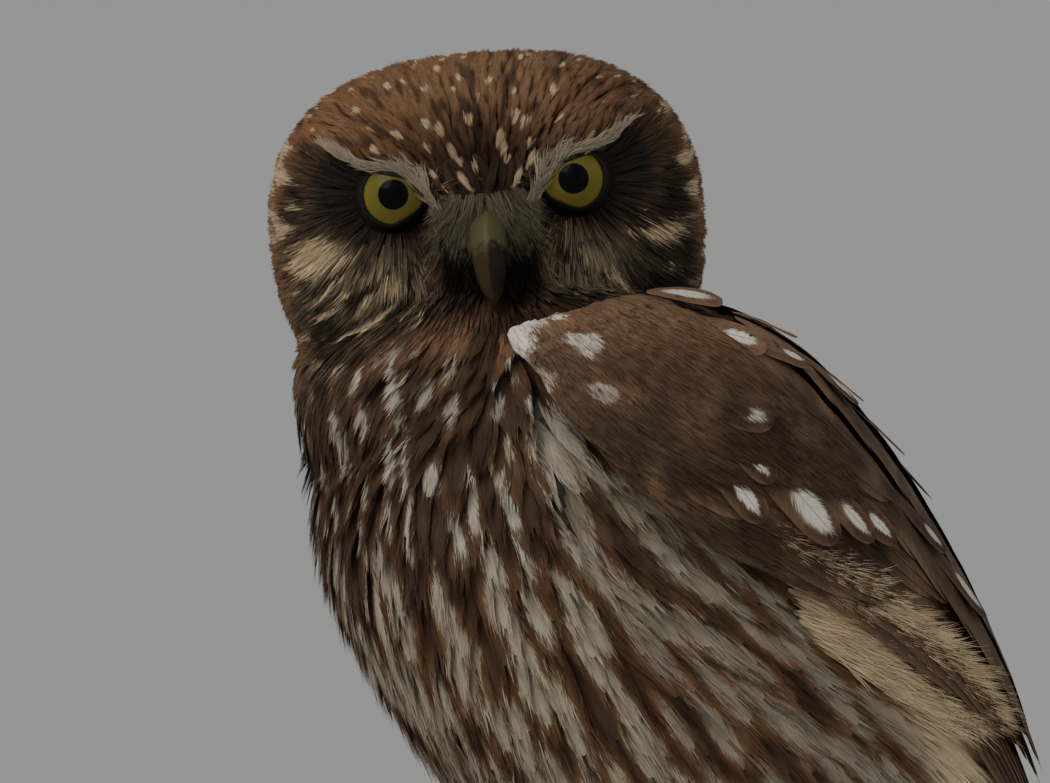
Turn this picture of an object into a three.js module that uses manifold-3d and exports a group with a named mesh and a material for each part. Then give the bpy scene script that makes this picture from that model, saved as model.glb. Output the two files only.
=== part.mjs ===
// A little owl standing at ease, its head turned over its left shoulder.
// Millimetres, +Z up. The breast faces -Y and the bird's left side is +X.
import * as THREE from "three";
import { mergeVertices } from "three/addons/utils/BufferGeometryUtils.js";
import Module from "manifold-3d";

const wasm = await Module();
wasm.setup();

// Driving dimensions
const eyeLine = 156.7; // height of the head's own origin, which is level with the eyes
const headTurn = 60; // degrees, towards the left shoulder
const headNod = 8; // degrees, face down
const headRoll = 7.8; // degrees, left side up
const headHalfWidth = 36.2;
const headFront = 25;
const headBack = 33;
const headCrown = 29;
const headChin = 30;
const headMiddle = -9; // the head's middle lies this far below the eye line
const eyeSpread = 14.6; // from the middle of the face to each eye
const eyeRadius = 6.3;
const eyeDepth = -17.4;
const eyeOpening = 5.4;
const billDrop = 17.8; // from the eye line down to the bill's tip
const soleLevel = 0;
const footSpread = 20; // from the middle plane to each foot
const footY = 38; // the middle of each foot, under the bird's weight
const toeThickness = 5.4;
const clawLength = 9;
const soleSink = 0.4; // how much of each toe's round underside is flattened
const vaneThickness = 0.55;
const gap = 0.32; // between touching pieces

const degrees = THREE.MathUtils.degToRad;
const vec = (x, y, z) => new THREE.Vector3(x, y, z);
const mix = THREE.MathUtils.lerp;

// Smooth interpolation in a list of equally spaced values
function curveValue(values, t) {
  const last = values.length - 1;
  const at = Math.min(Math.max(t, 0), last);
  const i = Math.min(Math.floor(at), last - 1);
  const f = at - i;
  const p = (k) => values[Math.min(Math.max(k, 0), last)];
  const [a, b, c, d] = [p(i - 1), p(i), p(i + 1), p(i + 2)];
  return (
    b +
    0.5 * f * (c - a + f * (2 * a - 5 * b + 4 * c - d + f * (3 * (b - c) + d - a)))
  );
}

// Geometry from points and faces, as one solid
function solidOf(points, faces) {
  const vertProperties = new Float32Array(points.flatMap((p) => [p.x, p.y, p.z]));
  const make = (list) =>
    new wasm.Manifold(
      new wasm.Mesh({ numProp: 3, vertProperties, triVerts: new Uint32Array(list.flat()) }),
    );
  const made = make(faces);
  return made.volume() < 0 ? make(faces.map(([a, b, c]) => [a, c, b])) : made;
}

// A closed skin over rings of points, each with the same count
function loft(rings) {
  const n = rings[0].length;
  const faces = [];
  for (let i = 0; i + 1 < rings.length; i++) {
    for (let j = 0; j < n; j++) {
      const a = i * n + j;
      const b = i * n + ((j + 1) % n);
      faces.push([a, b, b + n], [a, b + n, a + n]);
    }
  }
  const end = (rings.length - 1) * n;
  for (let j = 1; j + 1 < n; j++) {
    faces.push([0, j + 1, j], [end, end + j, end + j + 1]);
  }
  return solidOf(rings.flat(), faces);
}

// A solid from one of three.js's closed geometries
function solidFrom(geometry) {
  const g = geometry.clone();
  g.deleteAttribute("normal");
  g.deleteAttribute("uv");
  const merged = mergeVertices(g, 1e-4);
  const xyz = merged.getAttribute("position");
  const points = Array.from({ length: xyz.count }, (_, i) => vec(0, 0, 0).fromBufferAttribute(xyz, i));
  const index = Array.from(merged.index.array);
  const faces = [];
  for (let i = 0; i < index.length; i += 3) {
    const face = index.slice(i, i + 3);
    if (new Set(face).size === 3) faces.push(face);
  }
  return solidOf(points, faces);
}

const largest = (solid) => solid.decompose().sort((a, b) => b.volume() - a.volume())[0];
const union = (solids) => solids.reduce((a, b) => a.add(b));
const moved = (solid, matrix) => solid.transform(matrix.elements);
const mirrored = (solid) => solid.mirror([1, 0, 0]);

function meshOf(name, solid, material) {
  const made = largest(solid).getMesh();
  const xyz = new Float32Array(made.numVert * 3);
  for (let i = 0; i < made.numVert; i++) {
    xyz.set(made.vertProperties.subarray(i * made.numProp, i * made.numProp + 3), i * 3);
  }
  const geometry = new THREE.BufferGeometry()
    .setAttribute("position", new THREE.BufferAttribute(xyz, 3))
    .setIndex(new THREE.BufferAttribute(made.triVerts, 1));
  geometry.computeVertexNormals();
  const mesh = new THREE.Mesh(geometry, material);
  mesh.name = name;
  return mesh;
}

// Body form
// Each station of the body has its back and breast points in the middle plane, and a half width.
const stations = {
  backY: [14, 34, 53, 69, 82, 92, 99, 104, 107, 108, 105],
  backZ: [141, 137, 128, 114, 98, 82, 67, 55, 46, 41, 38],
  breastY: [4, -12, -21, -25, -22, -12, 2, 20, 41, 63, 87],
  breastZ: [141, 137, 126, 110, 91, 74, 58, 44, 34, 31, 34],
  half: [10, 31, 38, 41, 42, 42, 41, 37, 30, 20, 8],
};
// The folded wings lie on the body and then, past it, over the tail.
const wingBed = {
  backY: [14, 34, 53, 69, 82, 92, 99, 105, 111.5, 118, 125],
  backZ: [141, 137, 128, 114, 98, 82, 67, 54, 41, 29, 18],
  breastY: [4, -12, -21, -25, -22, -12, 2, 20, 38, 52, 64],
  breastZ: [141, 137, 126, 110, 91, 74, 58, 44, 34, 26, 21],
  half: [10, 31, 38, 41, 42, 42, 41, 38, 32, 26, 22],
};
const bodySquareness = 2.25;

// A point of a table's form: t counts stations.
// The angle called around is 0 at the side, 90 at the back and -90 at the breast.
function formPoint(table, t, around) {
  const back = vec(0, curveValue(table.backY, t), curveValue(table.backZ, t));
  const breast = vec(0, curveValue(table.breastY, t), curveValue(table.breastZ, t));
  const half = curveValue(table.half, t);
  const power = 2 / bodySquareness;
  const a = degrees(around);
  const across = Math.sign(Math.cos(a)) * Math.abs(Math.cos(a)) ** power;
  const along = Math.sign(Math.sin(a)) * Math.abs(Math.sin(a)) ** power;
  return breast.clone().lerp(back, 0.5 + along / 2).add(vec(half * across, 0, 0));
}

function formNormal(table, t, around) {
  const dt = formPoint(table, t + 0.04, around).sub(formPoint(table, t - 0.04, around));
  const da = formPoint(table, t, around + 1).sub(formPoint(table, t, around - 1));
  return dt.cross(da).normalize();
}

const bedPoint = (t, around, lift) =>
  formPoint(wingBed, t, around).addScaledVector(formNormal(wingBed, t, around), lift);

// The torso as a whole, grown by some millimetres
function torsoForm(grow) {
  const rings = [];
  const rows = 18;
  const sides = 30;
  const last = stations.half.length - 1;
  for (let i = 0; i <= rows; i++) {
    const t = 0.12 + ((last - 0.12) * i) / rows;
    const ring = [];
    for (let j = 0; j < sides; j++) {
      const around = (360 * j) / sides;
      const p = formPoint(stations, t, around);
      const middle = formPoint(stations, t, 90).add(formPoint(stations, t, -90)).multiplyScalar(0.5);
      const out = p.clone().sub(middle).normalize();
      ring.push(p.addScaledVector(out, grow));
    }
    rings.push(ring);
  }
  rings[0].forEach((p) => p.setZ(p.z + grow));
  rings[rows].forEach((p) => p.setZ(p.z - grow));
  return loft(rings);
}

// A rounded mass from its middle and its three radii
function ellipsoid(middle, radii, across = 28, down = 16) {
  const ball = new THREE.SphereGeometry(1, across, down);
  ball.scale(radii.x, radii.y, radii.z);
  ball.translate(middle.x, middle.y, middle.z);
  return solidFrom(ball);
}

// Head, in its own frame: the face looks along -Y and the eye line is at z 0.
const headFrame = new THREE.Group();
headFrame.position.set(0, 0, eyeLine);
headFrame.rotation.set(degrees(headNod), degrees(-headRoll), degrees(headTurn), "ZYX");
headFrame.updateMatrixWorld(true);

const bump = (x, z, cx, cz, wx, wz) => Math.exp(-(((x - cx) / wx) ** 2) - ((z - cz) / wz) ** 2);

// How far the face stands out or sinks in at a place, seen from the front
function faceRelief(x, z) {
  const side = Math.abs(x);
  const browTop = -1.5 + 0.5 * (side - 2);
  const brow = 2.4 * Math.exp(-(((z - browTop) / 4) ** 2)) * THREE.MathUtils.smoothstep(34 - side, 0, 16);
  const socket = -3.4 * bump(side, z, eyeSpread, -2, 9, 8);
  const billBase = 2.2 * bump(side, z, 0, -8, 6, 8);
  return brow + socket + billBase;
}

function headForm(grow) {
  const rings = [];
  const rows = 20;
  const sides = 32;
  for (let i = 0; i <= rows; i++) {
    const share = i / rows;
    const tilt = Math.PI * mix(0.012, 0.988, mix(share ** 1.6, share, share));
    const ring = [];
    for (let j = 0; j < sides; j++) {
      const spin = (2 * Math.PI * j) / sides;
      const d = vec(Math.sin(tilt) * Math.cos(spin), -Math.cos(tilt), Math.sin(tilt) * Math.sin(spin));
      const outline =
        (Math.abs(d.x) / headHalfWidth) ** 2.5 +
        (Math.abs(d.z) / (d.z > 0 ? headCrown : headChin)) ** 2.5;
      const depth = (Math.abs(d.y) / (d.y < 0 ? headFront : headBack)) ** 2.3;
      const reach = (outline ** (2.3 / 2.5) + depth) ** (-1 / 2.3);
      const p = d.clone().multiplyScalar(reach + grow);
      const front = THREE.MathUtils.smoothstep(-d.y, 0.15, 0.6);
      p.addScaledVector(d, front * faceRelief(p.x, p.z + headMiddle));
      p.z += headMiddle;
      ring.push(p);
    }
    rings.push(ring);
  }
  return loft(rings);
}

const eyeBall = (side, radius) =>
  ellipsoid(vec(side * eyeSpread, eyeDepth, 0), vec(radius, radius, radius), 18, 10);

// The rim of the lids round one eye
function lids(side) {
  const rim = new THREE.TorusGeometry(eyeOpening + 0.35, 0.95, 6, 16);
  rim.rotateX(Math.PI / 2);
  rim.rotateZ(degrees(side * 8));
  rim.translate(side * eyeSpread, eyeDepth - 3.4, 0);
  return solidFrom(rim);
}

// A tapering body along a route in the middle plane of the face
function billForm(route, grow) {
  const sides = 12;
  const rings = route.map(([y, z, halfWide, halfDeep], i) => {
    const [before, after] = [route[Math.max(i - 1, 0)], route[Math.min(i + 1, route.length - 1)]];
    const run = vec(0, after[0] - before[0], after[1] - before[1]).normalize();
    const deep = vec(0, -run.z, run.y);
    return Array.from({ length: sides }, (_, j) => {
      const a = (2 * Math.PI * j) / sides;
      return vec(0, y, z)
        .addScaledVector(vec(1, 0, 0), (halfWide + grow) * Math.cos(a))
        .addScaledVector(deep, (halfDeep + grow) * Math.sin(a));
    });
  });
  return loft(rings);
}

const upperBill = [
  [-19, -5, 3.6, 3.4],
  [-24.5, -5.6, 3.7, 3.6],
  [-27.6, -7.4, 3.5, 3.4],
  [-29.4, -9.8, 3.0, 2.9],
  [-30.3, -12.6, 2.3, 2.2],
  [-30.2, -15.2, 1.4, 1.4],
  [-29.4, -billDrop, 0.35, 0.4],
];
const lowerBill = [
  [-19, -13.4, 2.7, 1.3],
  [-23, -14.2, 2.6, 1.4],
  [-25.6, -15, 2.1, 1.2],
  [-27.2, -16, 1.1, 0.7],
];

function nostril(side) {
  return ellipsoid(vec(side * 3.1, -28.3, -7.2), vec(0.9, 0.9, 0.7), 10, 6);
}

const headSolid = union([headForm(0), lids(1), lids(-1)]);
const upperSolid = billForm(upperBill, 0).subtract(union([nostril(1), nostril(-1)]));
const lowerSolid = billForm(lowerBill, 0).subtract(billForm(upperBill, gap));
const headCut = headSolid
  .subtract(union([eyeBall(1, eyeRadius + gap), eyeBall(-1, eyeRadius + gap)]))
  .subtract(billForm(upperBill, gap))
  .subtract(billForm(lowerBill, gap));

// Neck, between head and torso
const neckMiddle = vec(-3, 4, 122);
const neckRadii = vec(34, 33, 26);
const headGrown = moved(
  union([headForm(gap), billForm(upperBill, gap), billForm(lowerBill, gap)]),
  headFrame.matrixWorld,
);
const neckForm = (grow) => ellipsoid(neckMiddle, neckRadii.clone().addScalar(grow), 24, 12);
const neckSolid = neckForm(0).subtract(headGrown);

// Feathers
const featherOutline = [
  [0, 0.5],
  [0.45, 1],
  [0.84, 0.84],
  [1, 0.26],
];

// One thin vane along a place function; both faces are split alike.
function vane(placeAt, width, tilt) {
  const points = [];
  const faces = [];
  featherOutline.forEach(([along, share], i) => {
    const here = placeAt(along);
    const ahead = placeAt(Math.min(along + 0.02, 1)).point;
    const behind = placeAt(Math.max(along - 0.02, 0)).point;
    const run = ahead.sub(behind).normalize();
    const side = here.out.clone().cross(run).normalize();
    const raised = side.clone().applyAxisAngle(run, degrees(tilt));
    const half = (width / 2) * share;
    const left = here.point.clone().addScaledVector(raised, half);
    const right = here.point.clone().addScaledVector(raised, -half);
    const down = here.out.clone().multiplyScalar(-vaneThickness);
    points.push(left, right, right.clone().add(down), left.clone().add(down));
    if (i === 0) return;
    const [L0, R0, r0, l0, L1, R1, r1, l1] = Array.from({ length: 8 }, (_, k) => 4 * (i - 1) + k);
    faces.push([L0, R0, R1], [L0, R1, L1], [l0, r1, r0], [l0, l1, r1]);
    faces.push([R0, r0, r1], [R0, r1, R1], [L0, L1, l1], [L0, l1, l0]);
  });
  const e = points.length - 4;
  faces.push([0, 3, 2], [0, 2, 1], [e, e + 1, e + 2], [e, e + 2, e + 3]);
  return solidOf(points, faces);
}

// Wing
// The wing's back edge and belly edge, as stations and turns on its bed, from shoulder to tip
const wingBackEdge = { t: [1.0, 2.2, 3.5, 4.9, 6.8, 9.2], around: [-2, 18, 38, 54, 66, 71] };
const wingBellyEdge = { t: [1.5, 2.7, 3.9, 5.3, 7.0, 9.0], around: [-37, -17, 6, 31, 46, 56] };

// A place on the wing: s runs from shoulder to tip, r from the back edge to the belly edge.
function wingPlace(s, r, lift) {
  const at = 5 * s;
  const t = mix(curveValue(wingBackEdge.t, at), curveValue(wingBellyEdge.t, at), r);
  const around = mix(curveValue(wingBackEdge.around, at), curveValue(wingBellyEdge.around, at), r);
  return { point: bedPoint(t, around, lift), out: formNormal(wingBed, t, around) };
}

// A cushion over a patch, thick in the middle and thin at its edges
function cushion(placeAt, thicknessAt, rows, columns) {
  const top = [];
  const bottom = [];
  for (let i = 0; i <= rows; i++) {
    for (let j = 0; j <= columns; j++) {
      const [u, v] = [i / rows, j / columns];
      top.push(placeAt(u, v, thicknessAt(u, v)).point);
      bottom.push(placeAt(u, v, -2).point);
    }
  }
  const n = columns + 1;
  const under = top.length;
  const faces = [];
  const quad = (a, b, c, d) => faces.push([a, b, c], [a, c, d]);
  for (let i = 0; i < rows; i++) {
    for (let j = 0; j < columns; j++) {
      const a = i * n + j;
      quad(a, a + 1, a + n + 1, a + n);
      quad(under + a, under + a + n, under + a + n + 1, under + a + 1);
    }
  }
  for (let j = 0; j < columns; j++) {
    quad(under + j, under + j + 1, j + 1, j);
    const a = rows * n + j;
    quad(a, a + 1, under + a + 1, under + a);
  }
  for (let i = 0; i < rows; i++) {
    const a = i * n;
    quad(a, a + n, under + a + n, under + a);
    const b = i * n + columns;
    quad(under + b, under + b + n, b + n, b);
  }
  return solidOf([...top, ...bottom], faces);
}

const dome = (x) => Math.sqrt(Math.max(0, 1 - (2 * x - 1) ** 2));

// A square's coordinate across, drawn in near both ends so that a patch has round corners
function rounded(u, v) {
  const fromEnd = Math.min(u, 1 - u) / 0.3;
  const share = mix(0.25, 1, Math.sqrt(1 - Math.max(0, 1 - fromEnd) ** 2));
  return 0.5 + (v - 0.5) * share;
}

// The feathered arm, which holds the roots of every tier
function wingArm() {
  const reach = 0.56;
  const place = (u, v, lift) => wingPlace(mix(-0.02, reach, u), mix(-0.04, 1, rounded(u, v)), lift);
  const crest = (u) => curveValue([0.6, 4.4, 5.2, 4.8, 3.6, 2.2, 0.8], 6 * u);
  return cushion(place, (u, v) => 0.2 + crest(u) * dome(mix(0.06, 0.94, v)) ** 0.8, 8, 5);
}

// The scapular tract, along the wing's back edge
function scapularTract() {
  const place = (u, v, lift) => {
    const [t, around] = [mix(1.1, 4.5, u), mix(8 + 34 * u, 70 + 6 * u, rounded(u, v))];
    return { point: bedPoint(t, around, lift) };
  };
  const crest = (u) => 3.4 * dome(mix(0.08, 0.95, u)) ** 0.7;
  return cushion(place, (u, v) => 0.2 + crest(u) * dome(mix(0.06, 0.94, v)), 7, 4);
}

// One tier of the wing, with its feathers counted from the back edge to the belly edge
function wingTier({ count, rootS, rootR, tipS, tipR, rootLift, tipLift, width, tilt }) {
  return Array.from({ length: count }, (_, i) => {
    const u = count > 1 ? i / (count - 1) : 0;
    const [s0, s1] = [curveValue(rootS, u * (rootS.length - 1)), curveValue(tipS, u * (tipS.length - 1))];
    const [r0, r1] = [mix(...rootR, u), mix(...tipR, u)];
    const [h0, h1] = [mix(...rootLift, u), mix(...tipLift, u)];
    const place = (v) => wingPlace(mix(s0, s1, v), mix(r0, r1, v), mix(h0, h1, v));
    return vane(place, width, tilt);
  });
}

const tiers = {
  primaries: {
    count: 6, rootS: [0.36, 0.36], rootR: [0.2, 0.95], tipS: [0.86, 0.92, 0.97, 1, 0.98, 0.93],
    tipR: [0.2, 1], rootLift: [0.4, 0.4], tipLift: [1.2, 0.7], width: 7.4, tilt: 8,
  },
  secondaries: {
    count: 5, rootS: [0.24, 0.28], rootR: [0.1, 0.92], tipS: [0.76, 0.73, 0.68, 0.62],
    tipR: [0.08, 0.94], rootLift: [1.2, 1.2], tipLift: [3, 2.2], width: 8.8, tilt: 11,
  },
  greaterCoverts: {
    count: 5, rootS: [0.18, 0.2], rootR: [0.1, 0.92], tipS: [0.54, 0.51, 0.46],
    tipR: [0.08, 0.94], rootLift: [2.2, 2.2], tipLift: [4.3, 3.6], width: 9, tilt: 11,
  },
  medianCoverts: {
    count: 5, rootS: [0.06, 0.08], rootR: [0.1, 0.92], tipS: [0.36, 0.34, 0.31],
    tipR: [0.08, 0.94], rootLift: [3, 2.8], tipLift: [5.8, 4.9], width: 9.2, tilt: 11,
  },
};

// Scapulars, in three rows that lie over the back and the wing's back edge
function scapulars() {
  const row = (count, rootT, rootAround, tipT, tipAround, lift, width) =>
    Array.from({ length: count }, (_, i) => {
      const u = i / (count - 1);
      const [t0, t1] = [mix(...rootT, u), mix(...tipT, u)];
      const [a0, a1] = [mix(...rootAround, u), mix(...tipAround, u)];
      const place = (v) => {
        const [t, around] = [mix(t0, t1, v), mix(a0, a1, v)];
        return {
          point: bedPoint(t, around, mix(lift[0], lift[1], v) + 0.9 * Math.sin(Math.PI * v)),
          out: formNormal(wingBed, t, around),
        };
      };
      return vane(place, width, 8);
    });
  return [
    ...row(5, [1.5, 3.7], [20, 46], [2.8, 6.1], [24, 60], [2.8, 5.2], 9.6),
    ...row(4, [1.5, 3.6], [37, 57], [2.8, 5.8], [42, 68], [2.4, 4.2], 10),
    ...row(4, [1.5, 3.4], [56, 67], [2.8, 5.4], [60, 76], [1.8, 3], 10),
  ];
}

// Tail
const tailRoot = vec(0, 89, 66);
const tailTip = vec(0, 119.5, 13.5);
const tailRun = tailTip.clone().sub(tailRoot).normalize();
const tailOut = vec(0, -tailRun.z, tailRun.y);

// The coverts over and under the tail, which hold its feathers' roots
function tailBase() {
  const base = new THREE.SphereGeometry(1, 18, 12);
  base.scale(17, 6, 27);
  base.rotateX(Math.atan2(tailRun.y, -tailRun.z));
  const middle = tailRoot.clone().addScaledVector(tailRun, 19).addScaledVector(tailOut, -2.6);
  base.translate(middle.x, middle.y, middle.z);
  return solidFrom(base);
}

// A tail feather from root to tip, as lengths along the tail, with how far from the middle each lies
function tailFeather({ root, tip, rootAcross, tipAcross, lift, width }) {
  const place = (v) => ({
    point: tailRoot
      .clone()
      .addScaledVector(tailRun, mix(root, tip, v))
      .addScaledVector(tailOut, lift + 0.8 * Math.sin(Math.PI * v))
      .add(vec(mix(rootAcross, tipAcross, v), 0, 0)),
    out: tailOut,
  });
  return vane(place, width, 0);
}

function tailForm() {
  const length = tailTip.distanceTo(tailRoot);
  const layer = vaneThickness + gap;
  const feathers = [];
  for (let rank = 0; rank < 6; rank++) {
    for (const side of [1, -1]) {
      feathers.push(
        tailFeather({
          root: 14,
          tip: length - 0.7 * rank,
          rootAcross: side * (1 + 0.7 * rank),
          tipAcross: side * (1.6 + 1.8 * rank),
          lift: -layer * (rank + (side > 0 ? 0 : 0.5)),
          width: 9.6,
        }),
      );
    }
  }
  return union([tailBase(), ...feathers]);
}

// Legs and feet
// A rounded limb along points, each with its radii across and front to back
function limb(route, sides = 14) {
  const rings = route.map(([x, y, z, wide, deep], i) => {
    const [a, b] = [route[Math.max(i - 1, 0)], route[Math.min(i + 1, route.length - 1)]];
    const run = vec(b[0] - a[0], b[1] - a[1], b[2] - a[2]).normalize();
    const wideWay = Math.abs(run.z) > 0.7 ? vec(1, 0, 0) : vec(-run.y, run.x, 0).normalize();
    const deepWay = run.clone().cross(wideWay).normalize();
    return Array.from({ length: sides }, (_, j) => {
      const angle = (2 * Math.PI * j) / sides;
      return vec(x, y, z)
        .addScaledVector(wideWay, wide * Math.cos(angle))
        .addScaledVector(deepWay, deep * Math.sin(angle));
    });
  });
  return loft(rings);
}

const legEnd = 8.2; // where the feathered leg meets the foot
const ankle = vec(footSpread, footY, legEnd);
const legForm = limb([
  [footSpread - 3, footY + 9, 44, 12, 13],
  [footSpread - 2, footY + 7, 34, 11, 12],
  [footSpread - 1, footY + 4, 25, 8.5, 9],
  [footSpread, footY + 1.5, 17, 5.6, 6],
  [footSpread, footY, 11, 4.6, 5],
  [footSpread, footY, legEnd, 4.2, 4.4],
]);

// Toes point this many degrees from straight ahead, outwards positive, and are this long.
const toes = [
  { name: "inner", heading: -22, length: 19 },
  { name: "middle", heading: 12, length: 21 },
  { name: "outer", heading: 62, length: 18 },
  { name: "hind", heading: 170, length: 13 },
];
const toeHeading = (heading) => vec(Math.sin(degrees(heading)), -Math.cos(degrees(heading)), 0);

function toeRoute(toe) {
  const run = toeHeading(toe.heading);
  const at = (share, z, radius) => {
    const p = ankle.clone().addScaledVector(run, toe.length * share);
    return [p.x, p.y, z, radius, radius];
  };
  const r = toeThickness / 2;
  return [
    at(-0.05, 5.4, 3),
    at(0.3, r + 0.4 - soleSink, r + 0.4),
    at(0.6, r - soleSink, r),
    at(0.85, r - 0.1 - soleSink, r - 0.1),
    at(1, r - 0.3, r * 0.75),
  ];
}

const below = solidFrom(new THREE.BoxGeometry(400, 400, 20).translate(0, 0, soleLevel - 10));

function footForm() {
  const pad = ellipsoid(ankle.clone().setZ(4.4 - soleSink), vec(5, 5.4, 4.4), 12, 7);
  return union([pad, ...toes.map((toe) => limb(toeRoute(toe), 6))]).subtract(below);
}

// A claw curves down from its toe's end until its tip is just off the ground.
function clawForm(toe, grow) {
  const run = toeHeading(toe.heading);
  const steps = 5;
  const start = ankle.clone().addScaledVector(run, toe.length * 0.95);
  const route = Array.from({ length: steps + 1 }, (_, i) => {
    const a = i / steps;
    const p = start.clone().addScaledVector(run, clawLength * 0.86 * a);
    const radius = mix(1.5, 0.3, a) + grow;
    return [p.x, p.y, mix(3.5, 0.4, a ** 1.8), radius, radius];
  });
  return limb(route, 5);
}

// Materials
const paint = (color, roughness) => new THREE.MeshStandardMaterial({ color, roughness, metalness: 0 });
const brown = paint(0x5a3f2b, 0.9);
const streaked = paint(0x8d7a62, 0.95);
const pale = paint(0xb5a88f, 0.95);
const horn = paint(0x8a8552, 0.45);
const iris = paint(0xc9b21f, 0.1);
const dark = paint(0x1f1a17, 0.4);

// Assembly
const legSolid = legForm.subtract(below);
const legSocket = limb([
  [footSpread, footY, 30, 5, 5],
  [footSpread, footY, legEnd, 4.6, 4.8],
  [footSpread, footY, legEnd - gap, 4.6, 4.8],
]);
const footSolid = footForm().subtract(legSocket);
const torsoGrown = torsoForm(gap);
const neckGrown = neckForm(gap);
const legHollow = limb([
  [footSpread - 3, footY + 9, 44.3, 12.4, 13.4],
  [footSpread - 2, footY + 7, 34, 11.4, 12.4],
  [footSpread - 1, footY + 4, 25, 9, 9.5],
  [footSpread, footY + 1.5, 17, 6, 6.4],
  [footSpread, footY, 11, 5, 5.4],
]);
const torsoSolid = torsoForm(0)
  .subtract(union([neckGrown, headGrown]))
  .subtract(union([legHollow, mirrored(legHollow)]));
const tailSolid = tailForm().subtract(torsoGrown);
const wingWhole = union([
  wingArm(),
  scapularTract(),
  ...Object.values(tiers).flatMap(wingTier),
  ...scapulars(),
]);
const wingFree = wingWhole.subtract(torsoGrown);
const besideHead = union([neckGrown, headGrown]);

const owl = new THREE.Group();
const head = headFrame;
head.add(meshOf("head", headCut, streaked));
head.add(meshOf("bill_upper", upperSolid, horn));
head.add(meshOf("bill_lower", lowerSolid, horn));
head.add(meshOf("eye_left", eyeBall(1, eyeRadius), iris));
head.add(meshOf("eye_right", eyeBall(-1, eyeRadius), iris));
owl.add(head);
owl.add(meshOf("neck", neckSolid, streaked));
owl.add(meshOf("torso", torsoSolid, streaked));
owl.add(meshOf("tail", tailSolid, brown));
for (const [side, place] of [["left", (s) => s], ["right", mirrored]]) {
  owl.add(meshOf(`wing_${side}`, place(wingFree).subtract(besideHead), brown));
  owl.add(meshOf(`leg_${side}`, place(legSolid), pale));
  const claws = toes.map((toe) => clawForm(toe, 0));
  const foot = footSolid.subtract(union(toes.map((toe) => clawForm(toe, gap))));
  owl.add(meshOf(`foot_${side}`, place(foot), pale));
  toes.forEach((toe, i) => {
    owl.add(meshOf(`claw_${toe.name}_${side}`, place(claws[i].subtract(below)), dark));
  });
}

// The origin is the middle of the bird's box, on the ground.
const box = new THREE.Box3().setFromObject(owl, true);
owl.position.set(-(box.min.x + box.max.x) / 2, -(box.min.y + box.max.y) / 2, -box.min.z);

export default owl;
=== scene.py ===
# A little owl standing at ease, dressed in feathers around its fixed solids.
# Forms are worked out in millimetres in the bird's own frame: the breast faces -Y, its left side is +X.
import math

import bpy
import numpy as np
from mathutils import Matrix, Vector
from mathutils.bvhtree import BVHTree
from mathutils.kdtree import KDTree


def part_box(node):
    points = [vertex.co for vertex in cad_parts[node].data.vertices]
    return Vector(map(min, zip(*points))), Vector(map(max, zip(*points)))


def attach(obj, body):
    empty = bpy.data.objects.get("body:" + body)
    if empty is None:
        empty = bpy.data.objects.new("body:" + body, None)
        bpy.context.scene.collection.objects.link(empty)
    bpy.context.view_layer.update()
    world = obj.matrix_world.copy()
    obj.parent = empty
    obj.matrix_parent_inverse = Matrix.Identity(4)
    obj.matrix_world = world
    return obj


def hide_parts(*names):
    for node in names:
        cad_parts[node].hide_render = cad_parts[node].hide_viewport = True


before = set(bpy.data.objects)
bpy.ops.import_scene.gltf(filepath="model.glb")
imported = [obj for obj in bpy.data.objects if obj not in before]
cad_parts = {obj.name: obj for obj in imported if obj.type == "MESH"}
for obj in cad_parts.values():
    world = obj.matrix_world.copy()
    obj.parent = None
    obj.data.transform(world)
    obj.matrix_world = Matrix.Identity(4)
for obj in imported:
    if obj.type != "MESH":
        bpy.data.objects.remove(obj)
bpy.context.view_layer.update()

MM = 0.001
SIDES = (("left", 1), ("right", -1))

# Driving dimensions of the bird, in millimetres and degrees
EYE_LINE = 156.7
HEAD_TURN, HEAD_NOD, HEAD_ROLL = 60, 8, 7.8
HEAD_HALF_WIDTH, HEAD_FRONT, HEAD_BACK = 36.2, 25, 33
HEAD_CROWN, HEAD_CHIN, HEAD_MIDDLE = 29, 30, -9
EYE_SPREAD, EYE_DEPTH, EYE_RADIUS = 14.6, -17.4, 6.3
IRIS_RADIUS, PUPIL_RADIUS = 5.05, 2.45
BILL_DROP = 17.8
FOOT_SPREAD, FOOT_Y = 20, 38
TOE_THICKNESS, CLAW_LENGTH = 5.4, 9
TOES = (("inner", -22, 19), ("middle", 12, 21), ("outer", 62, 18), ("hind", 170, 13))
VANE_LAYER = 0.87
BODY_SQUARENESS = 2.25
LOWEST = 0.1
LEG_TOP = 34
BELLY_FROM = 4.1
SKIN_VOXEL = 1.0

# The head's outline seen from the front is squarer than its outline from the side
HEAD_SQUARENESS, HEAD_DEPTH_POWER = 2.5, 2.3

# How many places are drawn on the skin, before they are thinned out
ROOT_SAMPLES, SPOT_SAMPLES = 300000, 60000

STATIONS = {
    "back_y": [14, 34, 53, 69, 82, 92, 99, 104, 107, 108, 105],
    "back_z": [141, 137, 128, 114, 98, 82, 67, 55, 46, 41, 38],
    "breast_y": [4, -12, -21, -25, -22, -12, 2, 20, 41, 63, 87],
    "breast_z": [141, 137, 126, 110, 91, 74, 58, 44, 34, 31, 34],
    "half": [10, 31, 38, 41, 42, 42, 41, 37, 30, 20, 8],
}
WING_BED = {
    "back_y": [14, 34, 53, 69, 82, 92, 99, 105, 111.5, 118, 125],
    "back_z": [141, 137, 128, 114, 98, 82, 67, 54, 41, 29, 18],
    "breast_y": [4, -12, -21, -25, -22, -12, 2, 20, 38, 52, 64],
    "breast_z": [141, 137, 126, 110, 91, 74, 58, 44, 34, 26, 21],
    "half": [10, 31, 38, 41, 42, 42, 41, 38, 32, 26, 22],
}


# Small helpers on arrays
def unit(vectors):
    return vectors / np.maximum(np.linalg.norm(vectors, axis=-1, keepdims=True), 1e-9)


def mix(a, b, share):
    return a + (b - a) * share


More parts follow.
